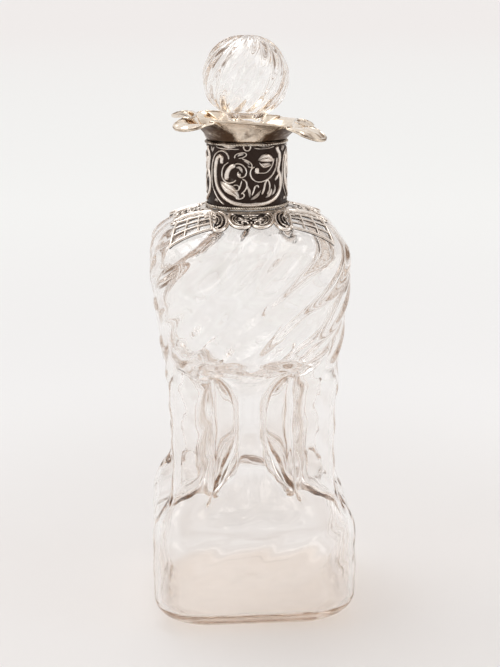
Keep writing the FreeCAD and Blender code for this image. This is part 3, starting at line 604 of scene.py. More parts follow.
def patch(outline, height, base, rounded=True, rows=7):
    # a closed raised patch inside an outline that goes anticlockwise
    outline = np.array(outline, float)
    centre = outline.mean(axis=0)
    shares = np.cos(np.linspace(0.0, 0.5 * math.pi, rows + 1))[:-1]
    profile = np.sqrt(np.clip(1.0 - shares ** 2, 0.0, 1.0)) if rounded else ease((1.0 - shares) / 0.08)
    lift = np.concatenate([[underside], base + height * profile])
    feet, normals = onShoulder(centre + (outline - centre) * np.append(1.0, shares)[:, None, None])
    made = feet + normals * lift[:, None, None]
    foot, normal = onShoulder(centre[None])
    ends = np.array([base + height, underside])
    columns, start = len(outline), made.shape[0] * made.shape[1]
    faces = [gridFaces(len(lift), columns), fanFaces(np.arange(start - columns, start), start),
             fanFaces(np.arange(columns), start + 1, flip=True)]
    points = np.concatenate([made.reshape(-1, 3), foot + normal * ends[:, None]])
    # the lift in mm goes out as the relief value, so the low ground and edges come out dark: tarnish there, and
    # painted shade in the crevice
    return points, faces, np.append(np.repeat(lift, columns), ends)


def bead(x, y, radius, height, base, count=20, rows=7):
    turns = roundTurns(count)
    outline = np.stack([x + radius * np.cos(turns), y + radius * np.sin(turns)], axis=1)
    return patch(outline, height, base, rows=rows)


def joined(shells, turn):
    # one set of points and faces from several closed shells, turned about the axis
    cosine, sine = math.cos(math.radians(turn)), math.sin(math.radians(turn))
    rotation = np.array([[cosine, sine, 0.0], [-sine, cosine, 0.0], [0.0, 0.0, 1.0]])
    starts = np.cumsum([0] + [len(points) for points, faces, reliefAndShade in shells])
    groups = [group + start for (points, faces, reliefAndShade), start in zip(shells, starts) for group in faces]
    points = np.concatenate([points for points, faces, reliefAndShade in shells]) @ rotation
    return points, groups, np.concatenate([reliefAndShade for points, faces, reliefAndShade in shells])


# the shoulder of the glass with its ribs filled in, which the mount lies on

tableColumns = 720


def shoulderTable():
    heights = np.linspace(160.0, 197.5, 120)
    rings = bottleRings(heights)
    rings = rings + ringNormals(rings) * (ribLift(heights) + 0.1)[:, None, None]
    turns = roundTurns(tableColumns)
    radii, levels = [], []
    for ring in rings:
        angles = np.arctan2(ring[:, 0], -ring[:, 1]) % (2 * math.pi)
        radii.append(np.interp(turns, angles, np.hypot(ring[:, 0], ring[:, 1]), period=2 * math.pi))
        levels.append(np.interp(turns, angles, ring[:, 2], period=2 * math.pi))
    return np.array(radii), np.array(levels)


shoulderTables = shoulderTable()


def shoulderHeight(x, y):
    place = (np.arctan2(x, -y) % (2 * math.pi)) / (2 * math.pi) * tableColumns
    i = place.astype(int) % tableColumns
    share = place - np.floor(place)
    radii, levels = (mix(table[:, i], table[:, (i + 1) % tableColumns], share) for table in shoulderTables)
    radius = np.hypot(x, y)
    k = np.clip((radii > radius).sum(axis=0), 1, len(radii) - 1)
    n = np.arange(len(radius))
    share = (radii[k - 1, n] - radius) / (radii[k - 1, n] - radii[k, n])
    return mix(levels[k - 1, n], levels[k, n], share)


def onShoulder(plan):
    # feet on the glass under places of the plan (x right, y up the page, the front at the foot)
    plan = np.asarray(plan, float)
    x, y = plan[..., 0].ravel(), plan[..., 1].ravel()
    reach = 0.25
    slopeX = (shoulderHeight(x + reach, y) - shoulderHeight(x - reach, y)) / (2 * reach)
    slopeY = (shoulderHeight(x, y + reach) - shoulderHeight(x, y - reach)) / (2 * reach)
    normals = unit(np.stack([-slopeX, -slopeY, np.ones_like(x)], axis=1))
    feet = np.stack([x, y, shoulderHeight(x, y)], axis=1)
    return feet.reshape(plan.shape[:-1] + (3,)), normals.reshape(plan.shape[:-1] + (3,))


# pierced shoulder mount

mount = {
    "flangeInner": 18.35, "flangeOuter": 22.0, "flangeLift": 0.75,
    "innerCorner": (17.6, 17.6), "frontEnd": (17.4, 32.4), "tip": (35.2, 35.6),
    "cells": 3, "barWidth": 1.2, "barLift": 0.85, "edgeBar": 1.25,
}
# the raised ground and the strokes on it: (width, lift, kind, (across, out from the axis) places);
# the cartouche's other half mirrors them
cartoucheGround = [(0.0, 31.6), (1.4, 32.4), (3.8, 33.2), (6.6, 32.5), (8.8, 30.6), (9.8, 27.0), (9.8, 23.2),
                   (8.4, 20.6), (4.0, 20.2)]
cartoucheLines = [
    (1.9, 1.2, "ridge", [(1.0, 30.3), (1.3, 31.9), (3.6, 33.0), (6.3, 32.4), (8.4, 30.5), (9.5, 27.1),
        (9.6, 23.4), (8.6, 21.0), (6.8, 20.4)]),
    (0.8, 0.95, "ridge", [(1.2, 30.5), (1.9, 29.0), (3.2, 28.3), (4.2, 29.0), (3.6, 29.9)]),
    (0.65, 0.75, "ridge", [(6.2, 21.9), (7.7, 23.4), (8.1, 26.6), (7.2, 29.3), (5.2, 30.8), (3.0, 31.3)]),
    (0.45, 0.5, "ridge", [(5.6, 23.0), (6.7, 24.4), (6.9, 26.8), (6.1, 28.8), (4.9, 29.7)]),
    (1.5, 0.8, "leaf", [(5.6, 24.6), (4.3, 25.6), (3.2, 27.2)]),
    (1.3, 0.7, "leaf", [(5.9, 27.0), (4.6, 26.6), (3.3, 25.6)]),
    (1.2, 0.7, "leaf", [(0.6, 27.2), (2.0, 26.8), (3.0, 25.9)]),
    (1.3, 0.7, "leaf", [(0.3, 21.2), (1.8, 22.6), (3.9, 22.2)]),
    (1.0, 0.6, "leaf", [(0.4, 23.4), (1.6, 24.5), (2.9, 24.4)]),
]
scrollGround = [(14.4, 16.0), (12.4, 17.6), (10.9, 21.0), (10.3, 26.0), (10.9, 30.6), (12.6, 33.4),
                (14.8, 34.4), (16.4, 33.4), (16.4, 29.0), (15.6, 25.0), (16.2, 20.0)]
scrollLines = [
    (1.9, 1.2, "ridge", [(14.3, 15.9), (12.6, 17.6), (11.2, 20.8), (10.5, 25.9), (10.9, 30.4), (12.4, 33.2),
        (14.7, 34.4), (16.4, 33.5), (16.5, 31.9)]),
    (0.75, 0.85, "ridge", [(14.6, 18.0), (13.3, 20.4), (12.5, 24.6), (12.8, 28.6), (14.1, 31.2), (15.7, 31.3)]),
    (0.5, 0.6, "ridge", [(15.6, 19.4), (14.4, 22.0), (14.0, 25.2), (14.5, 28.0), (15.6, 29.3)]),
    (1.5, 0.8, "leaf", [(14.2, 15.8), (15.6, 17.4), (16.2, 20.0)]),
    (1.6, 0.85, "leaf", [(15.0, 24.0), (15.9, 25.8), (16.1, 28.3)]),
    (1.3, 0.75, "leaf", [(15.0, 23.6), (16.0, 22.6), (16.3, 20.6)]),
]
sprayLeaves = [(-52.0, 5.2, 1.9), (-26.0, 6.4, 2.1), (0.0, 6.0, 2.3), (26.0, 6.4, 2.1), (52.0, 5.2, 1.9)]


def plateOutline(points):
    # a closed soft outline, anticlockwise
    line = smoothLine(points + points[:1], 0.6)[:-1]
    area = np.sum(line[:, 0] * np.roll(line[:, 1], -1) - np.roll(line[:, 0], -1) * line[:, 1])
    return line if area > 0 else line[::-1]


def ornament(lines, side, base):
    # side is -1 for a mirror image
    return [strip([(side * x, -out) for x, out in line], width, lift, kind, base)
            for width, lift, kind, line in lines]


def cartoucheShells():
    ground = [(x, -out) for x, out in cartoucheGround]
    ground += [(-x, y) for x, y in ground[:0:-1]]
    shells = [patch(plateOutline(ground), 0.12, 0.2, rounded=False, rows=9)]
    for side in (-1, 1):
        shells += ornament(cartoucheLines, side, 0.25)
        shells += [bead(side * 4.4, -25.9, 0.85, 0.85, 0.3), bead(side * 3.9, -29.6, 0.5, 0.6, 0.3, 14, 4)]
    for out, radius in ((25.6, 0.7), (29.2, 0.55), (22.6, 0.6)):
        shells.append(bead(0.0, -out, radius, 0.75, 0.3, 16, 5))
    return shells


def scrollShells(side):
    ground = plateOutline([(side * x, -out) for x, out in scrollGround])
    shells = [patch(ground, 0.1, 0.18, rounded=False)] + ornament(scrollLines, side, 0.22)
    return shells + [bead(side * 15.5, -32.2, 0.85, 0.9, 0.25),
                     bead(side * 15.2, -21.7, 0.6, 0.75, 0.25, 14, 4)]


def trellisShells():
    m = mount
    inner, front, tip = (np.array(m[key]) for key in ("innerCorner", "frontEnd", "tip"))
    side = front[::-1]
    shells = []
    for i in range(m["cells"] + 1):
        share = i / m["cells"]
        edge = m["edgeBar"] if share in (0.0, 1.0) else 1.0
        for first, second in ((front, side), (side, front)):
            ends = mix(inner, first, share), mix(second, tip, share)
            placed = mix(*ends, np.linspace(0.0, 1.0, 7)[:, None]) * (1, -1)
            shells.append(strip(placed, m["barWidth"] * edge, m["barLift"] * edge, "ridge", 0.18, 0.01))
    return shells + [bead(x, -y, 0.75, 0.8, 0.25, 16, 5) for x, y in (tip, front, side)]


def sprayShells():
    shells = []
    root = (mount["flangeOuter"] + 0.4) * math.sqrt(0.5)
    for angle, length, width in sprayLeaves:
        t = np.array([0.0, 0.35, 0.7, 1.0])
        across, up = polar(length * t, -45.0 + angle * (0.75 + 0.25 * t))
        shells.append(strip(np.stack([root + across, up - root], axis=1), width, 0.85, "leaf", 0.55))
    middle = (mount["flangeOuter"] + 1.6) * math.sqrt(0.5)
    for angle in range(0, 360, 72):
        across, up = polar(1.15, angle)
        shells.append(bead(middle + across, up - middle, 0.75, 0.7, 0.9, 14, 4))
    return shells + [bead(middle, -middle, 0.6, 0.75, 1.2, 14, 4)]


def flangeShell():
    # the plain ring between the collar and the scrolls
    inner, outer, high = mount["flangeInner"], mount["flangeOuter"], mount["flangeLift"]
    section = [(outer, 0.2), (outer - 0.12, 0.5), (outer - 0.5, high - 0.05), (20.8, high), (19.6, high),
               (inner + 0.15, high), (inner, 0.3), (inner, underside), (outer, underside)]
    radii, lift = np.array(section).T[..., None]
    feet, normals = onShoulder(roundRings(0.0, radii, 360)[..., :2])
    rings = feet + normals * lift[..., None]
    # the relief value follows the lift, so the flange's edges by the glass come out dark: tarnish there, and painted
    # shade in the crevice
    return rings, np.repeat(lift / high * 0.55, 360)


def makeMount():
    corners = ("front_right", "back_right", "back_left", "front_left")
    sides = ("front", "right", "back", "left")
    kinds = [("trellis_{}", trellisShells(), corners), ("leaf_spray_{}", sprayShells(), corners),
             ("cartouche_{}", cartoucheShells(), sides), ("scroll_{}_right", scrollShells(1), sides),
             ("scroll_{}_left", scrollShells(-1), sides)]
    pieces = []
    for label, shells, names in kinds:
        for quarter, name in enumerate(names):
            node = label.format(name)
            shell = joined(shells, 90.0 * quarter)
            pieces.append(makePiece("chased_" + node, (node,), "chased_silver", *shell))
    pieces.append(ringPiece("plain_shoulder_flange", ("shoulder_flange",), "chased_silver", *flangeShell()))
    print("shoulder mount", len(pieces), "pieces")
    return pieces


def ringPiece(name, replaces, slot, rings, reliefAndShade):
    # a piece whose rings close on themselves
    faces = [gridFaces(len(rings), rings.shape[1], closeUp=True)]
    return makePiece(name, replaces, slot, rings.reshape(-1, 3), faces, reliefAndShade)


# embossed neck collar

collar = {
    "foot": 191.9, "height": 29.8, "insideRadius": 17.5, "groundRadius": 17.92, "middleRadius": 18.2,
    "repeats": 3, "columns": 720, "rows": 188,
}
# one repeat of the scrolls, unrolled: (width, lift, kind, (across, up) places), across 0 at its middle
collarLines = [
    (0.75, 0.6, "ridge", [(-9.3, 22.2), (-9.6, 24.2), (-10.9, 25.8), (-12.9, 26.4), (-15.1, 25.8),
        (-17.4, 24.0), (-19.0, 21.0), (-19.7, 17.4), (-19.8, 13.6), (-19.0, 9.8), (-17.2, 6.8), (-14.8, 4.2),
        (-11.8, 2.2)]),
    (1.9, 0.85, "ridge", [(-12.6, 20.3), (-13.1, 21.9), (-12.9, 23.2), (-14.0, 24.0), (-15.6, 22.9),
        (-16.7, 20.4), (-17.2, 16.8), (-16.8, 13.0), (-15.7, 9.9), (-13.7, 7.2), (-11.2, 5.1), (-8.2, 3.6),
        (-5.1, 2.8), (-1.2, 2.4), (2.9, 2.5), (7.2, 2.9), (10.9, 3.9), (13.7, 5.5), (15.7, 7.8), (16.6, 10.4),
        (16.7, 13.0), (15.9, 15.3), (14.9, 17.4), (15.4, 19.8), (16.1, 22.4), (15.9, 24.6), (14.6, 26.4),
        (14.2, 28.4)]),
    (1.5, 0.75, "leaf", [(15.9, 15.6), (14.2, 14.4), (12.9, 12.6)]),
    (0.8, 0.7, "ridge", [(2.9, 19.5), (1.4, 19.0), (0.5, 17.1), (1.0, 14.8), (2.6, 13.2), (4.9, 12.7),
        (7.2, 13.2), (9.7, 14.3), (11.6, 15.9), (13.0, 18.0), (13.8, 20.4), (14.2, 23.4)]),
    (0.7, 0.65, "ridge", [(3.2, 16.7), (4.9, 16.7), (7.2, 16.6), (9.2, 17.5), (10.8, 19.2), (11.8, 21.1),
        (12.2, 23.3)]),
    (2.3, 0.85, "ridge", [(2.6, 18.9), (3.4, 18.2), (3.3, 17.2), (2.6, 16.4)]),
    (3.9, 0.8, "leaf", [(4.0, 22.4), (8.1, 23.3), (12.0, 21.8)]),
    (0.6, 0.75, "ridge", [(4.3, 21.7), (6.1, 19.8), (8.6, 19.3), (10.9, 20.4)]),
    (2.6, 0.6, "leaf", [(4.7, 20.6), (7.4, 19.9), (10.2, 20.7)]),
    (0.65, 0.65, "ridge", [(-6.5, 22.8), (-6.2, 24.6), (-4.2, 25.7), (-1.8, 25.8), (-1.2, 24.8), (-2.8, 23.7),
        (-5.1, 23.2)]),
    (1.2, 0.6, "leaf", [(-5.4, 24.0), (-3.9, 24.9), (-1.9, 25.2)]),
    (0.65, 0.65, "ridge", [(-3.5, 23.2), (-1.6, 22.7), (0.4, 21.6), (1.3, 20.0), (0.5, 19.3), (-0.9, 20.3)]),
    (1.1, 0.5, "leaf", [(-2.6, 22.4), (-0.8, 21.6), (0.3, 20.3)]),
    (0.75, 0.65, "ridge", [(-9.1, 21.7), (-11.6, 19.9), (-12.8, 17.5), (-12.9, 15.0), (-11.6, 13.1),
        (-9.3, 12.2), (-7.0, 12.8), (-5.8, 14.0)]),
    (2.3, 0.85, "ridge", [(-6.0, 20.4), (-8.5, 19.2), (-10.1, 17.0), (-10.6, 14.8), (-10.0, 13.4)]),
    (0.75, 0.7, "ridge", [(-6.8, 20.6), (-5.2, 21.0), (-3.4, 20.6), (-1.9, 19.3), (-1.2, 17.3), (-1.9, 15.5),
        (-3.5, 14.8), (-4.9, 15.5), (-5.1, 16.8), (-4.4, 17.7)]),
    (1.5, 0.55, "leaf", [(-6.2, 19.2), (-4.1, 19.1), (-3.0, 16.6)]),
    (1.7, 0.9, "ridge", [(-4.9, 17.0), (-4.4, 16.0), (-3.7, 15.2)]),
    (4.4, 0.75, "leaf", [(-14.2, 12.6), (-10.4, 9.9), (-7.4, 8.4), (-4.6, 5.6)]),
    (0.6, 0.95, "ridge", [(-7.6, 10.9), (-5.9, 11.5), (-4.6, 10.7), (-5.1, 9.2), (-6.6, 8.8), (-7.6, 9.8)]),
    (0.8, 0.7, "ridge", [(-3.3, 14.3), (-1.6, 13.2), (-1.1, 11.1), (-2.0, 9.0), (-3.6, 7.6)]),
    (0.7, 0.65, "ridge", [(-3.3, 13.7), (-3.8, 11.8), (-4.4, 9.8), (-5.4, 8.3)]),
    (0.75, 0.75, "ridge", [(-6.6, 5.7), (-4.6, 5.2), (-3.0, 5.7), (-2.3, 6.8), (-3.0, 7.8), (-4.1, 7.2)]),
    (0.8, 0.7, "ridge", [(-2.3, 30.4), (-2.4, 28.2), (-1.6, 26.9), (-0.3, 26.8), (0.6, 27.9), (0.6, 30.4)]),
    (0.6, 0.55, "ridge", [(-17.0, 28.6), (-14.5, 27.6), (-9.3, 27.3), (-4.1, 27.4)]),
    (0.6, 0.55, "ridge", [(2.3, 27.8), (5.5, 27.4), (9.7, 27.6), (12.8, 28.2)]),
    (1.4, 0.45, "leaf", [(4.0, 28.7), (7.4, 28.5), (11.4, 28.9)]),
    (1.4, 0.45, "leaf", [(-12.6, 28.6), (-9.0, 28.3), (-5.0, 28.6)]),
    (0.95, 0.7, "ridge", [(5.5, 6.6), (6.7, 9.0), (7.3, 11.5), (8.1, 13.2), (9.2, 12.6), (9.7, 10.7),
        (9.3, 8.5), (7.9, 6.5)]),
    (1.6, 0.75, "leaf", [(10.9, 9.6), (9.8, 7.0), (7.2, 5.2)]),
    (1.2, 0.6, "leaf", [(12.6, 11.4), (12.6, 8.6), (10.6, 5.9)]),
    (0.8, 0.6, "ridge", [(0.9, 6.3), (1.9, 8.5), (2.6, 10.6), (3.8, 11.1), (4.3, 9.6)]),
    (1.5, 0.5, "leaf", [(0.2, 4.6), (3.2, 6.4), (5.6, 9.2)]),
    (1.3, 0.5, "leaf", [(-1.2, 11.5), (0.0, 8.6), (0.2, 5.4)]),
    (0.6, 0.5, "ridge", [(17.5, 25.6), (18.2, 26.8), (18.6, 28.6)]),
    (1.2, 0.55, "leaf", [(-19.6, 25.2), (-18.6, 26.8), (-17.4, 28.2)]),
    (1.3, 0.5, "leaf", [(-18.2, 3.2), (-17.0, 4.2), (-15.4, 3.0)]),
]


def collarField(across, up, length):
    # lift over the ground for one repeat
    grid = np.zeros((len(up), len(across)))
    for width, lift, kind, places in collarLines:
        line = smoothLine(places, 0.12)
        wide, high = strokeShape(line, kind, 1.0)
        half = 0.5 * width * wide
        for shift in (-length, 0.0, length):
            moved = line + (shift, 0.0)
            low, top = moved.min(axis=0) - half.max(), moved.max(axis=0) + half.max()
            columns = np.nonzero((across > low[0]) & (across < top[0]))[0]
            rows = np.nonzero((up > low[1]) & (up < top[1]))[0]
            if len(columns) and len(rows):
                spots = np.stack(np.meshgrid(across[columns], up[rows]), axis=-1)
                apart = ((spots[:, :, None] - moved) ** 2).sum(-1)
                nearest = apart.argmin(axis=-1)
                ratio = np.sqrt(apart.min(axis=-1)) / half[nearest]
                made = lift * high[nearest] * crossShape(np.minimum(ratio, 1.0), kind)
                box = np.ix_(rows, columns)
                grid[box] = np.maximum(grid[box], made)
    return grid


def makeCollar():
    c = collar
    count = c["columns"] // c["repeats"]
    length = 2 * math.pi * c["middleRadius"] / c["repeats"]
    across = (np.arange(count) / count - 0.5) * length
    up = np.linspace(0.0, c["height"], c["rows"])
    whole = np.tile(collarField(across, up, length), (1, c["repeats"]))
    whole = np.roll(whole, -(count // 2), axis=1)
    padded = np.pad(whole, 1, "wrap")
    padded[0, 1:-1], padded[-1, 1:-1] = whole[0], whole[-1]
    beside = (padded[1:-1, :-2] + padded[1:-1, 2:]) / 2
    whole = 0.4 * whole + 0.3 * beside + 0.15 * (padded[2:, 1:-1] + padded[:-2, 1:-1])
    edge = np.minimum(up, c["height"] - up)[:, None]
    whole = whole * ease(edge / 0.8) + 0.25 * (1.0 - ease((edge - 0.2) / 0.8))
    levels = c["foot"] + np.append(up, [c["height"], 0.0])
    radii = np.concatenate([c["groundRadius"] + whole, np.full((2, c["columns"]), c["insideRadius"])])
    reliefAndShade = np.concatenate([whole / 0.85, np.zeros((2, c["columns"]))])
    print("collar", reliefAndShade.size, "points")
    return ringPiece("embossed_neck_collar", ("neck_collar",), "chased_silver",
                     roundRings(levels[:, None], radii, c["columns"]), reliefAndShade)


# wires at the collar's edges

wires = {
    "collar_top_wire": {"ringRadius": 18.5, "wireRadius": 0.5, "height": 221.1, "turns": 90, "twist": 0.06},
    "collar_base_wire": {"ringRadius": 18.62, "wireRadius": 0.62, "height": 192.75, "turns": 110,
                         "twist": 0.09},
}


def makeWires():
    # drawn wire, lightly twisted
    pieces = []
    for name, w in wires.items():
        section = roundTurns(18)[:, None]
        wave = np.cos(2 * section + w["turns"] * roundTurns(960))
        radius = w["wireRadius"] * (1.0 + w["twist"] * wave)
        levels, radii = w["height"] + radius * np.sin(section), w["ringRadius"] + radius * np.cos(section)
        rings = roundRings(levels, radii, 960)
        # darker in the twist's grooves: tarnish there, and painted shade
        pieces.append(ringPiece("twisted_" + name, (name,), "chased_silver", rings, 0.6 + 0.25 * wave))
    return pieces


# pouring lip

lip = {
    "seat": 222.15, "sheet": 0.66, "bead": 0.6, "mouthRadius": 12.2, "footRadius": 18.0,
    "sideReach": 23.0, "sideHeight": 231.6, "lean": 0.09,
    "spoutReach": 44.0, "spoutHalfWidth": 8.1, "spoutDrop": 5.0, "spoutStart": 0.3, "spoutSpan": 0.62,
    "fluteHeight": 0.16, "fluteTurns": 6.25, "fluteStart": 0.58, "steps": 84, "rings": 64,
}
rimSideShares = [(0.0, 1.0), (0.23, 1.01), (0.42, 1.03), (0.6, 1.07), (0.76, 1.14)]
rimDropShares = [(0.0, 0.0), (0.25, 0.02), (0.5, 0.12), (0.7, 0.38), (0.88, 0.75), (1.0, 1.0)]
sideRiseShares = [(0.0, 0.0), (0.3, 0.36), (0.65, 0.72), (1.0, 1.0)]
spoutRiseShares = [(0.0, 0.0), (0.14, 0.3), (0.28, 0.56), (0.42, 0.74), (0.6, 0.82), (0.8, 0.78), (1.0, 0.56)]


def lipRim():
    # the rim in plan, from the middle of a side to the tip of a spout
    s = lip
    half, reach = s["spoutHalfWidth"], s["sideReach"]
    centre = s["spoutReach"] - half
    spout = [(centre - half * 0.55, half * 1.1)]
    for angle in (90.0, 67.0, 45.0, 22.0, 0.0):
        onward, sideways = polar(half, angle)
        spout.append((centre + onward, sideways))
    points = [(reach * across, reach * out) for across, out in rimSideShares]
    points += [((u - w) * math.sqrt(0.5), (u + w) * math.sqrt(0.5)) for u, w in spout]
    return resample(points, 4 * s["steps"] + 1)


def lipRing(rim, bowlShare):
    # one ring of the sheet's middle, bowlShare going from the foot to the rim
    s = lip
    share = np.linspace(0.0, 1.0, s["steps"] + 1)
    place = along(rim, share)
    first = s["sideReach"] * math.sqrt(0.5)
    reachShare = np.clip((place.sum(axis=1) * math.sqrt(0.5) - first) / (s["spoutReach"] - first), 0.0, 1.0)
    spoutShare = np.clip((share - s["spoutStart"]) / s["spoutSpan"], 0.0, 1.0)
    spoutShare = mix(spoutShare, ease(spoutShare), 0.6)
    depth = s["sideHeight"] - s["seat"]
    rise = mix(follow(sideRiseShares, bowlShare), follow(spoutRiseShares, bowlShare), spoutShare)
    rimRise = 1.0 - s["spoutDrop"] * follow(rimDropShares, reachShare) / depth
    rise = rise + (rimRise - mix(sideRiseShares[-1][1], spoutRiseShares[-1][1], spoutShare)) * bowlShare ** 3
    # shallow flutes across each spout, deepest near its tip
    flute = np.cos(2 * math.pi * s["fluteTurns"] * (1.0 - share)) * ease((share - s["fluteStart"]) / 0.1)
    flute = flute * ease((bowlShare - 0.45) / 0.3) * (1.0 - ease((bowlShare - 0.94) / 0.06))
    rise = rise + s["fluteHeight"] / depth * flute
    out, across = polar(s["footRadius"], 45.0 * share)
    ring = mirrored(mix(np.stack([across, out], axis=1), place, bowlShare), rise)
    ring[:, 2] = s["seat"] + depth * ring[:, 2] - ring[:, 0] * s["lean"] * bowlShare
    return ring


def makeLip():
    s = lip
    rim = lipRim()
    columns = 8 * s["steps"]
    flatShares = np.array([[0.0], [0.3], [0.6], [0.86]])
    flat = roundRings(s["seat"], mix(s["mouthRadius"], s["footRadius"], flatShares), columns)
    shares = 1.0 - (1.0 - np.linspace(0.04, 1.0, s["rings"])) ** 1.15
    middle = np.concatenate([flat, [lipRing(rim, share) for share in shares]])
    travel = np.linalg.norm(middle - middle[-1:], axis=-1)
    bulge = np.sqrt(np.clip(1.0 - (travel / s["bead"] - 0.7) ** 2, 0.0, 1.0))
    thick = ringNormals(middle) * mix(0.5 * s["sheet"], s["bead"], bulge)[..., None]
    edge = middle[-1:] + 0.25 * unit(middle[-1:] - middle[-2:-1])
    mouth = middle[:1] + 0.5 * s["sheet"] * unit(middle[:1] - middle[1:2])
    rings = np.concatenate([middle + thick, edge, (middle - thick)[::-1], mouth])
    # bright in the bowl, darker near the rim; outside, bright at the bead and darker below it, with painted shade on
    # the underside, darkest under the spouts
    fromMiddle = np.abs((np.arange(columns) / s["steps"] + 1) % 2 - 1)
    spoutMask = ease((fromMiddle - 0.26) / 0.16)
    worn = 0.42 + 0.58 * np.clip(travel / 4.0, 0.0, 1.0)
    # painted shade on the lip's underside, deepest under the spouts
    tarnishAndUndersideShade = worn * (0.62 - 0.46 * spoutMask * ease((travel - 3.0) / 6.0))
    outside = mix(0.85, tarnishAndUndersideShade, ease(travel / 5.0))
    reliefAndShade = np.concatenate([outside, np.full((1, columns), 0.75), worn[::-1] + 0.12, worn[:1]])
    print("lip", reliefAndShade.size, "points")
    return ringPiece("four_spouted_pouring_lip", ("pouring_lip",), "polished_silver", rings, reliefAndShade)


# finishes shared by several materials

def feed(tree, node, given):
    # gives a node's sockets numbers, colours or other nodes' outputs
    for label, value in given.items():
        socket = node.inputs[label]
        if isinstance(value, bpy.types.NodeSocket):
            tree.links.new(value, socket)
        else:
            socket.default_value = (*value, 1) if socket.type == "RGBA" else value


def addNode(tree, kind, given=(), **settings):
    node = tree.nodes.new("ShaderNode" + kind)
    for label, setting in settings.items():
        setattr(node, label, setting)
    feed(tree, node, dict(given))
    return node


def newGroup(name, inputs):
    # a shader group that puts out a colour, a roughness and a normal
    group = bpy.data.node_groups.new(name, "ShaderNodeTree")
    for label, value in inputs.items():
        kind = "NodeSocketColor" if isinstance(value, tuple) else "NodeSocketFloat"
        socket = group.interface.new_socket(name=label, in_out="INPUT", socket_type=kind)
        socket.default_value = (*value, 1) if isinstance(value, tuple) else value
    for label, kind in (("Colour", "Color"), ("Roughness", "Float"), ("Normal", "Vector")):
        group.interface.new_socket(name=label, in_out="OUTPUT", socket_type="NodeSocket" + kind)
    return group, group.nodes.new("NodeGroupInput").outputs


def endGroup(group, colour, rough, height, strength, distance):
    bump = addNode(group, "Bump", {"Strength": strength, "Distance": distance, "Height": height})
    leave = group.nodes.new("NodeGroupOutput")
    feed(group, leave, {"Colour": colour, "Roughness": rough, "Normal": bump.outputs[0]})
    return group


def calc(tree, kind, *given, clamp=False):
    return addNode(tree, "Math", enumerate(given), operation=kind, use_clamp=clamp).outputs[0]


def softStep(tree, given, low, high):
    values = {"Value": given, "From Min": low, "From Max": high}
    return addNode(tree, "MapRange", values, interpolation_type="SMOOTHSTEP").outputs[0]


def blended(tree, share, first, second, kind="MIX"):
    values = {"Factor": share, "A": first, "B": second}
    return addNode(tree, "Mix", values, data_type="RGBA", blend_type=kind).outputs["Result"]


def speckle(tree, scale, detail=3.0, stretch=None):
    # noise over the piece's own places, scale in waves a metre
    place = addNode(tree, "TexCoord").outputs["Object"]
    if stretch:
        place = addNode(tree, "Mapping", {"Vector": place, "Scale": stretch}).outputs[0]
    return addNode(tree, "TexNoise", {"Vector": place, "Scale": scale, "Detail": detail}).outputs["Fac"]


def makeOldSilverGroup():
    # silver that is bright where it stands out and dark in its hollows and low places: tarnish there, and painted
    # shade where a piece sets its values low for shade
    group, entry = newGroup("old_silver", {
        "Relief And Shade": 1.0, "Bright": (0.8, 0.76, 0.7), "Tarnish And Shade": (0.05, 0.035, 0.03), "Dark Below": 0.25,
        "Bright Above": 0.7, "Patchiness": 0.2, "Grain Size": 900.0, "Grain Depth": 0.3, "Polish": 0.25,
        "Dullness": 0.55})
    patches, grain = speckle(group, 160.0, 4.0), speckle(group, entry["Grain Size"], 2.0)
    shift, small = (calc(group, "MULTIPLY", calc(group, "SUBTRACT", noise, 0.5), entry["Patchiness"])
                    for noise in (patches, grain))
    heightAndShade = calc(group, "ADD", entry["Relief And Shade"], calc(group, "MULTIPLY", shift, 3.0))
    heightAndShade = calc(group, "ADD", heightAndShade, small)
    bright = softStep(group, heightAndShade, entry["Dark Below"], entry["Bright Above"])
    mottle = softStep(group, speckle(group, 420.0, 3.0), 0.3, 0.7)
    worn = blended(group, mottle, (0.86, 0.82, 0.78), (1.0, 1.0, 1.0))
    # the dark end is tarnish, and painted shade on the pieces that set low values for shade
    colour = blended(group, bright, entry["Tarnish And Shade"], entry["Bright"])
    colour = blended(group, 1.0, colour, worn, "MULTIPLY")
    spread = calc(group, "SUBTRACT", entry["Dullness"], entry["Polish"])
    rough = calc(group, "MULTIPLY_ADD", calc(group, "SUBTRACT", 1.0, bright), spread, entry["Polish"])
    rough = calc(group, "MULTIPLY_ADD", calc(group, "SUBTRACT", mottle, 0.5), -0.06, rough, clamp=True)
    return endGroup(group, colour, rough, grain, entry["Grain Depth"], 0.0001)


def makeBlownGlassGroup():
    # the slight waves of hand-blown glass, and a faint bloom in patches
    group, entry = newGroup("blown_glass", {
        "Tint": (1.0, 0.998, 0.996), "Bloom Tint": (0.985, 0.975, 0.965), "Wave Size": 60.0,
        "Wave Depth": 0.15, "Bloom": 0.02})
    waves = speckle(group, entry["Wave Size"], 1.0, (1.0, 1.0, 0.45))
    patches = softStep(group, speckle(group, 45.0, 3.0), 0.5, 0.75)
    colour = blended(group, patches, entry["Tint"], entry["Bloom Tint"])
    rough = calc(group, "MULTIPLY", patches, entry["Bloom"])
    return endGroup(group, colour, rough, waves, entry["Wave Depth"], 0.002)


oldSilver = makeOldSilverGroup()
blownGlass = makeBlownGlassGroup()


# materials

def newMaterial(name):
    material = bpy.data.materials.new(name)
    material.use_nodes = True
    tree = material.node_tree
    return material, tree, tree.nodes["Principled BSDF"]


def placeGroup(tree, shader, group, values):
    # puts a shared finish into a material and feeds the shader with it
    finish = addNode(tree, "Group", values, node_tree=group).outputs
    feed(tree, shader, {"Base Color": finish["Colour"], "Roughness": finish["Roughness"],
                        "Normal": finish["Normal"]})


shadowTint = (0.95, 0.93, 0.91)
glassDepth = {"colour": (0.8, 0.7, 0.61), "density": 18.0}


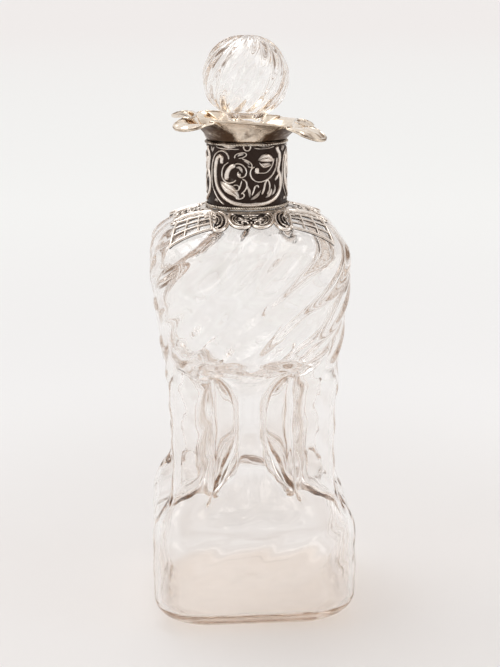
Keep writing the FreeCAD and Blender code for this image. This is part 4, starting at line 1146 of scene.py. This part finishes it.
def glassMaterial(name):
    material, tree, shader = newMaterial(name)
    feed(tree, shader, {"Metallic": 0.0, "Transmission Weight": 1.0, "IOR": 1.5})
    placeGroup(tree, shader, blownGlass, glassFinishes[name])
    shadow = addNode(tree, "LightPath").outputs["Is Shadow Ray"]
    clear = addNode(tree, "BsdfTransparent", {"Color": shadowTint})
    blend = addNode(tree, "MixShader", {0: shadow, 1: shader.outputs[0], 2: clear.outputs[0]})
    # thick glass seen edge on goes warm
    depth = addNode(tree, "VolumeAbsorption", {"Color": glassDepth["colour"], "Density": glassDepth["density"]})
    feed(tree, tree.nodes["Material Output"], {"Surface": blend.outputs[0], "Volume": depth.outputs[0]})
    return material


def silverMaterial(name):
    # a point attribute says how raised the silver is; on the lip, the wires and the mount's edges it also carries
    # painted shade, and low values come out dark
    material, tree, shader = newMaterial(name)
    feed(tree, shader, {"Metallic": 1.0})
    heightAndShade = addNode(tree, "Attribute", attribute_name="reliefAndShade")
    placeGroup(tree, shader, oldSilver, {**silverFinishes[name], "Relief And Shade": heightAndShade.outputs["Fac"]})
    return material


def plasterMaterial():
    material, tree, shader = newMaterial("old_bedding_plaster")
    stain = softStep(tree, speckle(tree, 300.0), 0.35, 0.7)
    feed(tree, shader, {"Base Color": blended(tree, stain, (0.42, 0.31, 0.2), (0.66, 0.56, 0.42)),
                        "Roughness": calc(tree, "MULTIPLY_ADD", speckle(tree, 900.0), 0.2, 0.7)})
    return material


def dress(material, *pieces):
    for piece in pieces:
        piece.data.materials.clear()
        piece.data.materials.append(material)


glassFinishes = {
    "clear_blown_bottle_glass": {"Wave Size": 55.0, "Wave Depth": 0.12},
    "clear_blown_stopper_glass": {"Wave Size": 70.0, "Wave Depth": 0.1},
}
silverFinishes = {
    "embossed_collar_silver": {
        "Bright": (0.86, 0.79, 0.73), "Tarnish And Shade": (0.045, 0.031, 0.026), "Dark Below": 0.1, "Bright Above": 0.74,
        "Patchiness": 0.32, "Grain Size": 1500.0, "Grain Depth": 0.35, "Polish": 0.27, "Dullness": 0.5},
    "chased_mount_silver": {
        "Bright": (0.9, 0.84, 0.78), "Tarnish And Shade": (0.03, 0.019, 0.015), "Dark Below": 0.3, "Bright Above": 0.72,
        "Patchiness": 0.3, "Grain Size": 1300.0, "Grain Depth": 0.35, "Polish": 0.24, "Dullness": 0.5},
    "polished_lip_silver": {
        "Bright": (0.87, 0.77, 0.65), "Tarnish And Shade": (0.13, 0.08, 0.05), "Dark Below": 0.12, "Bright Above": 0.85,
        "Patchiness": 0.5, "Grain Size": 700.0, "Grain Depth": 0.12, "Polish": 0.16, "Dullness": 0.4},
    "dull_wire_silver": {
        "Bright": (0.74, 0.68, 0.6), "Tarnish And Shade": (0.09, 0.06, 0.045), "Dark Below": 0.25, "Bright Above": 0.75,
        "Patchiness": 0.5, "Grain Size": 1100.0, "Grain Depth": 0.3, "Polish": 0.25, "Dullness": 0.5},
}

dress(glassMaterial("clear_blown_bottle_glass"), makeBottle())
print("bottle ready")
dress(glassMaterial("clear_blown_stopper_glass"), makeStopper())
print("stopper ready")
dress(silverMaterial("embossed_collar_silver"), makeCollar())
dress(silverMaterial("chased_mount_silver"), *makeMount())
dress(silverMaterial("polished_lip_silver"), makeLip())
dress(silverMaterial("dull_wire_silver"), *makeWires())
dress(plasterMaterial(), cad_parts["plaster_bedding"])
print("silver ready")

# floor, world and lamps

studio = {
    # floor colours by distance from the axis in metres: darker near the decanter, painted shade round its foot
    "floorColoursWithPaintedShade": [(0.0, (0.785, 0.757, 0.742)), (0.1, (0.8, 0.775, 0.765)), (0.4, (0.87, 0.86, 0.858)),
                     (1.3, (0.935, 0.935, 0.925)), (8.0, (0.92, 0.89, 0.88))],
    "floorSize": 30.0, "floorGap": 0.25, "seenColour": (0.93, 0.918, 0.912), "darkColour": (0.27, 0.19, 0.14),
    "backdropColour": (0.871, 0.838, 0.82), "worldColour": (1, 0.99, 0.98), "worldLight": 0.62,
    "sunStrength": 1.15, "sunAngle": 50.0, "sunPlace": (-0.5, 0.6, 1.6), "lampColour": (1, 0.98, 0.95),
}
# name, place, width and height, power
softboxes = [("softbox_left", (-0.9, -0.5, 0.8), (0.5, 0.7), 2.0),
             ("softbox_right", (0.9, -0.3, 0.7), (0.4, 0.7), 1.4)]


def makeFloor():
    material, tree, shader = newMaterial("pale_floor")
    place = addNode(tree, "TexCoord").outputs["Object"]
    away = addNode(tree, "VectorMath", {0: place}, operation="LENGTH").outputs["Value"]
    # darker near the axis: painted shade round the decanter's foot
    stops = studio["floorColoursWithPaintedShade"]
    colour = stops[0][1]
    for (near, first), (far, second) in zip(stops, stops[1:]):
        colour = blended(tree, softStep(tree, away, near, far), colour, second)
    feed(tree, shader, {"Base Color": colour, "Roughness": 0.9, "Specular IOR Level": 0.1})
    mesh = bpy.data.meshes.new("floor")
    size = studio["floorSize"]
    corners = [(-size, -size, 0), (size, -size, 0), (size, size, 0), (-size, size, 0)]
    mesh.from_pydata(corners, [], [(0, 1, 2, 3)])
    mesh.materials.append(material)
    floor = bpy.data.objects.new("floor", mesh)
    floor.location.z = -studio["floorGap"] * mm
    scene.collection.objects.link(floor)


def makeWorld():
    world = bpy.data.worlds.new("studio")
    scene.world = world
    world.use_nodes = True
    tree = world.node_tree
    tree.nodes.clear()
    place = addNode(tree, "TexCoord").outputs["Generated"]
    x, y, height = addNode(tree, "SeparateXYZ", {0: place}).outputs
    # the room round the white sweep: a darker warm band, open at the back and broken by lit gaps
    underBand = calc(tree, "SUBTRACT", 1.0, softStep(tree, height, 0.5, 0.75))
    band = calc(tree, "MULTIPLY", softStep(tree, height, 0.1, 0.22), underBand)
    turn = calc(tree, "ARCTAN2", x, calc(tree, "MULTIPLY", y, -1.0))
    lobes = calc(tree, "COSINE", calc(tree, "MULTIPLY", turn, 3.0))
    dark = calc(tree, "MULTIPLY", band, softStep(tree, lobes, -0.55, 0.25))
    room = blended(tree, dark, studio["seenColour"], studio["darkColour"])
    room, seen = (addNode(tree, "Background", {"Color": colour}) for colour in (room, studio["backdropColour"]))
    light = addNode(tree, "Background", {"Color": studio["worldColour"], "Strength": studio["worldLight"]})
    rays = addNode(tree, "LightPath").outputs
    mirrored = calc(tree, "MAXIMUM", rays["Is Glossy Ray"], rays["Is Transmission Ray"])
    lit = addNode(tree, "MixShader", {0: mirrored, 1: light.outputs[0], 2: room.outputs[0]})
    whole = addNode(tree, "MixShader", {0: rays["Is Camera Ray"], 1: lit.outputs[0], 2: seen.outputs[0]})
    addNode(tree, "OutputWorld", {"Surface": whole.outputs[0]})


def makeLight(name, kind, place, target, **settings):
    data = bpy.data.lights.new(name, kind)
    for label, setting in settings.items():
        setattr(data, label, setting)
    lamp = bpy.data.objects.new(name, data)
    scene.collection.objects.link(lamp)
    lamp.location = place
    lamp.rotation_mode = "QUATERNION"
    lamp.rotation_quaternion = (Vector(target) - Vector(place)).to_track_quat("-Z", "Y")


makeFloor()
makeWorld()
makeLight("soft_key", "SUN", studio["sunPlace"], (0, 0, 0), energy=studio["sunStrength"],
          angle=math.radians(studio["sunAngle"]))
for name, place, (width, height), power in softboxes:
    makeLight(name, "AREA", place, (0, 0, 0.12), shape="RECTANGLE", size=width, size_y=height, energy=power,
              color=studio["lampColour"])
scene.view_settings.view_transform = "Standard"
scene.cycles.transmission_bounces = 48
scene.cycles.glossy_bounces = 48
scene.cycles.max_bounces = 64
print("studio ready")
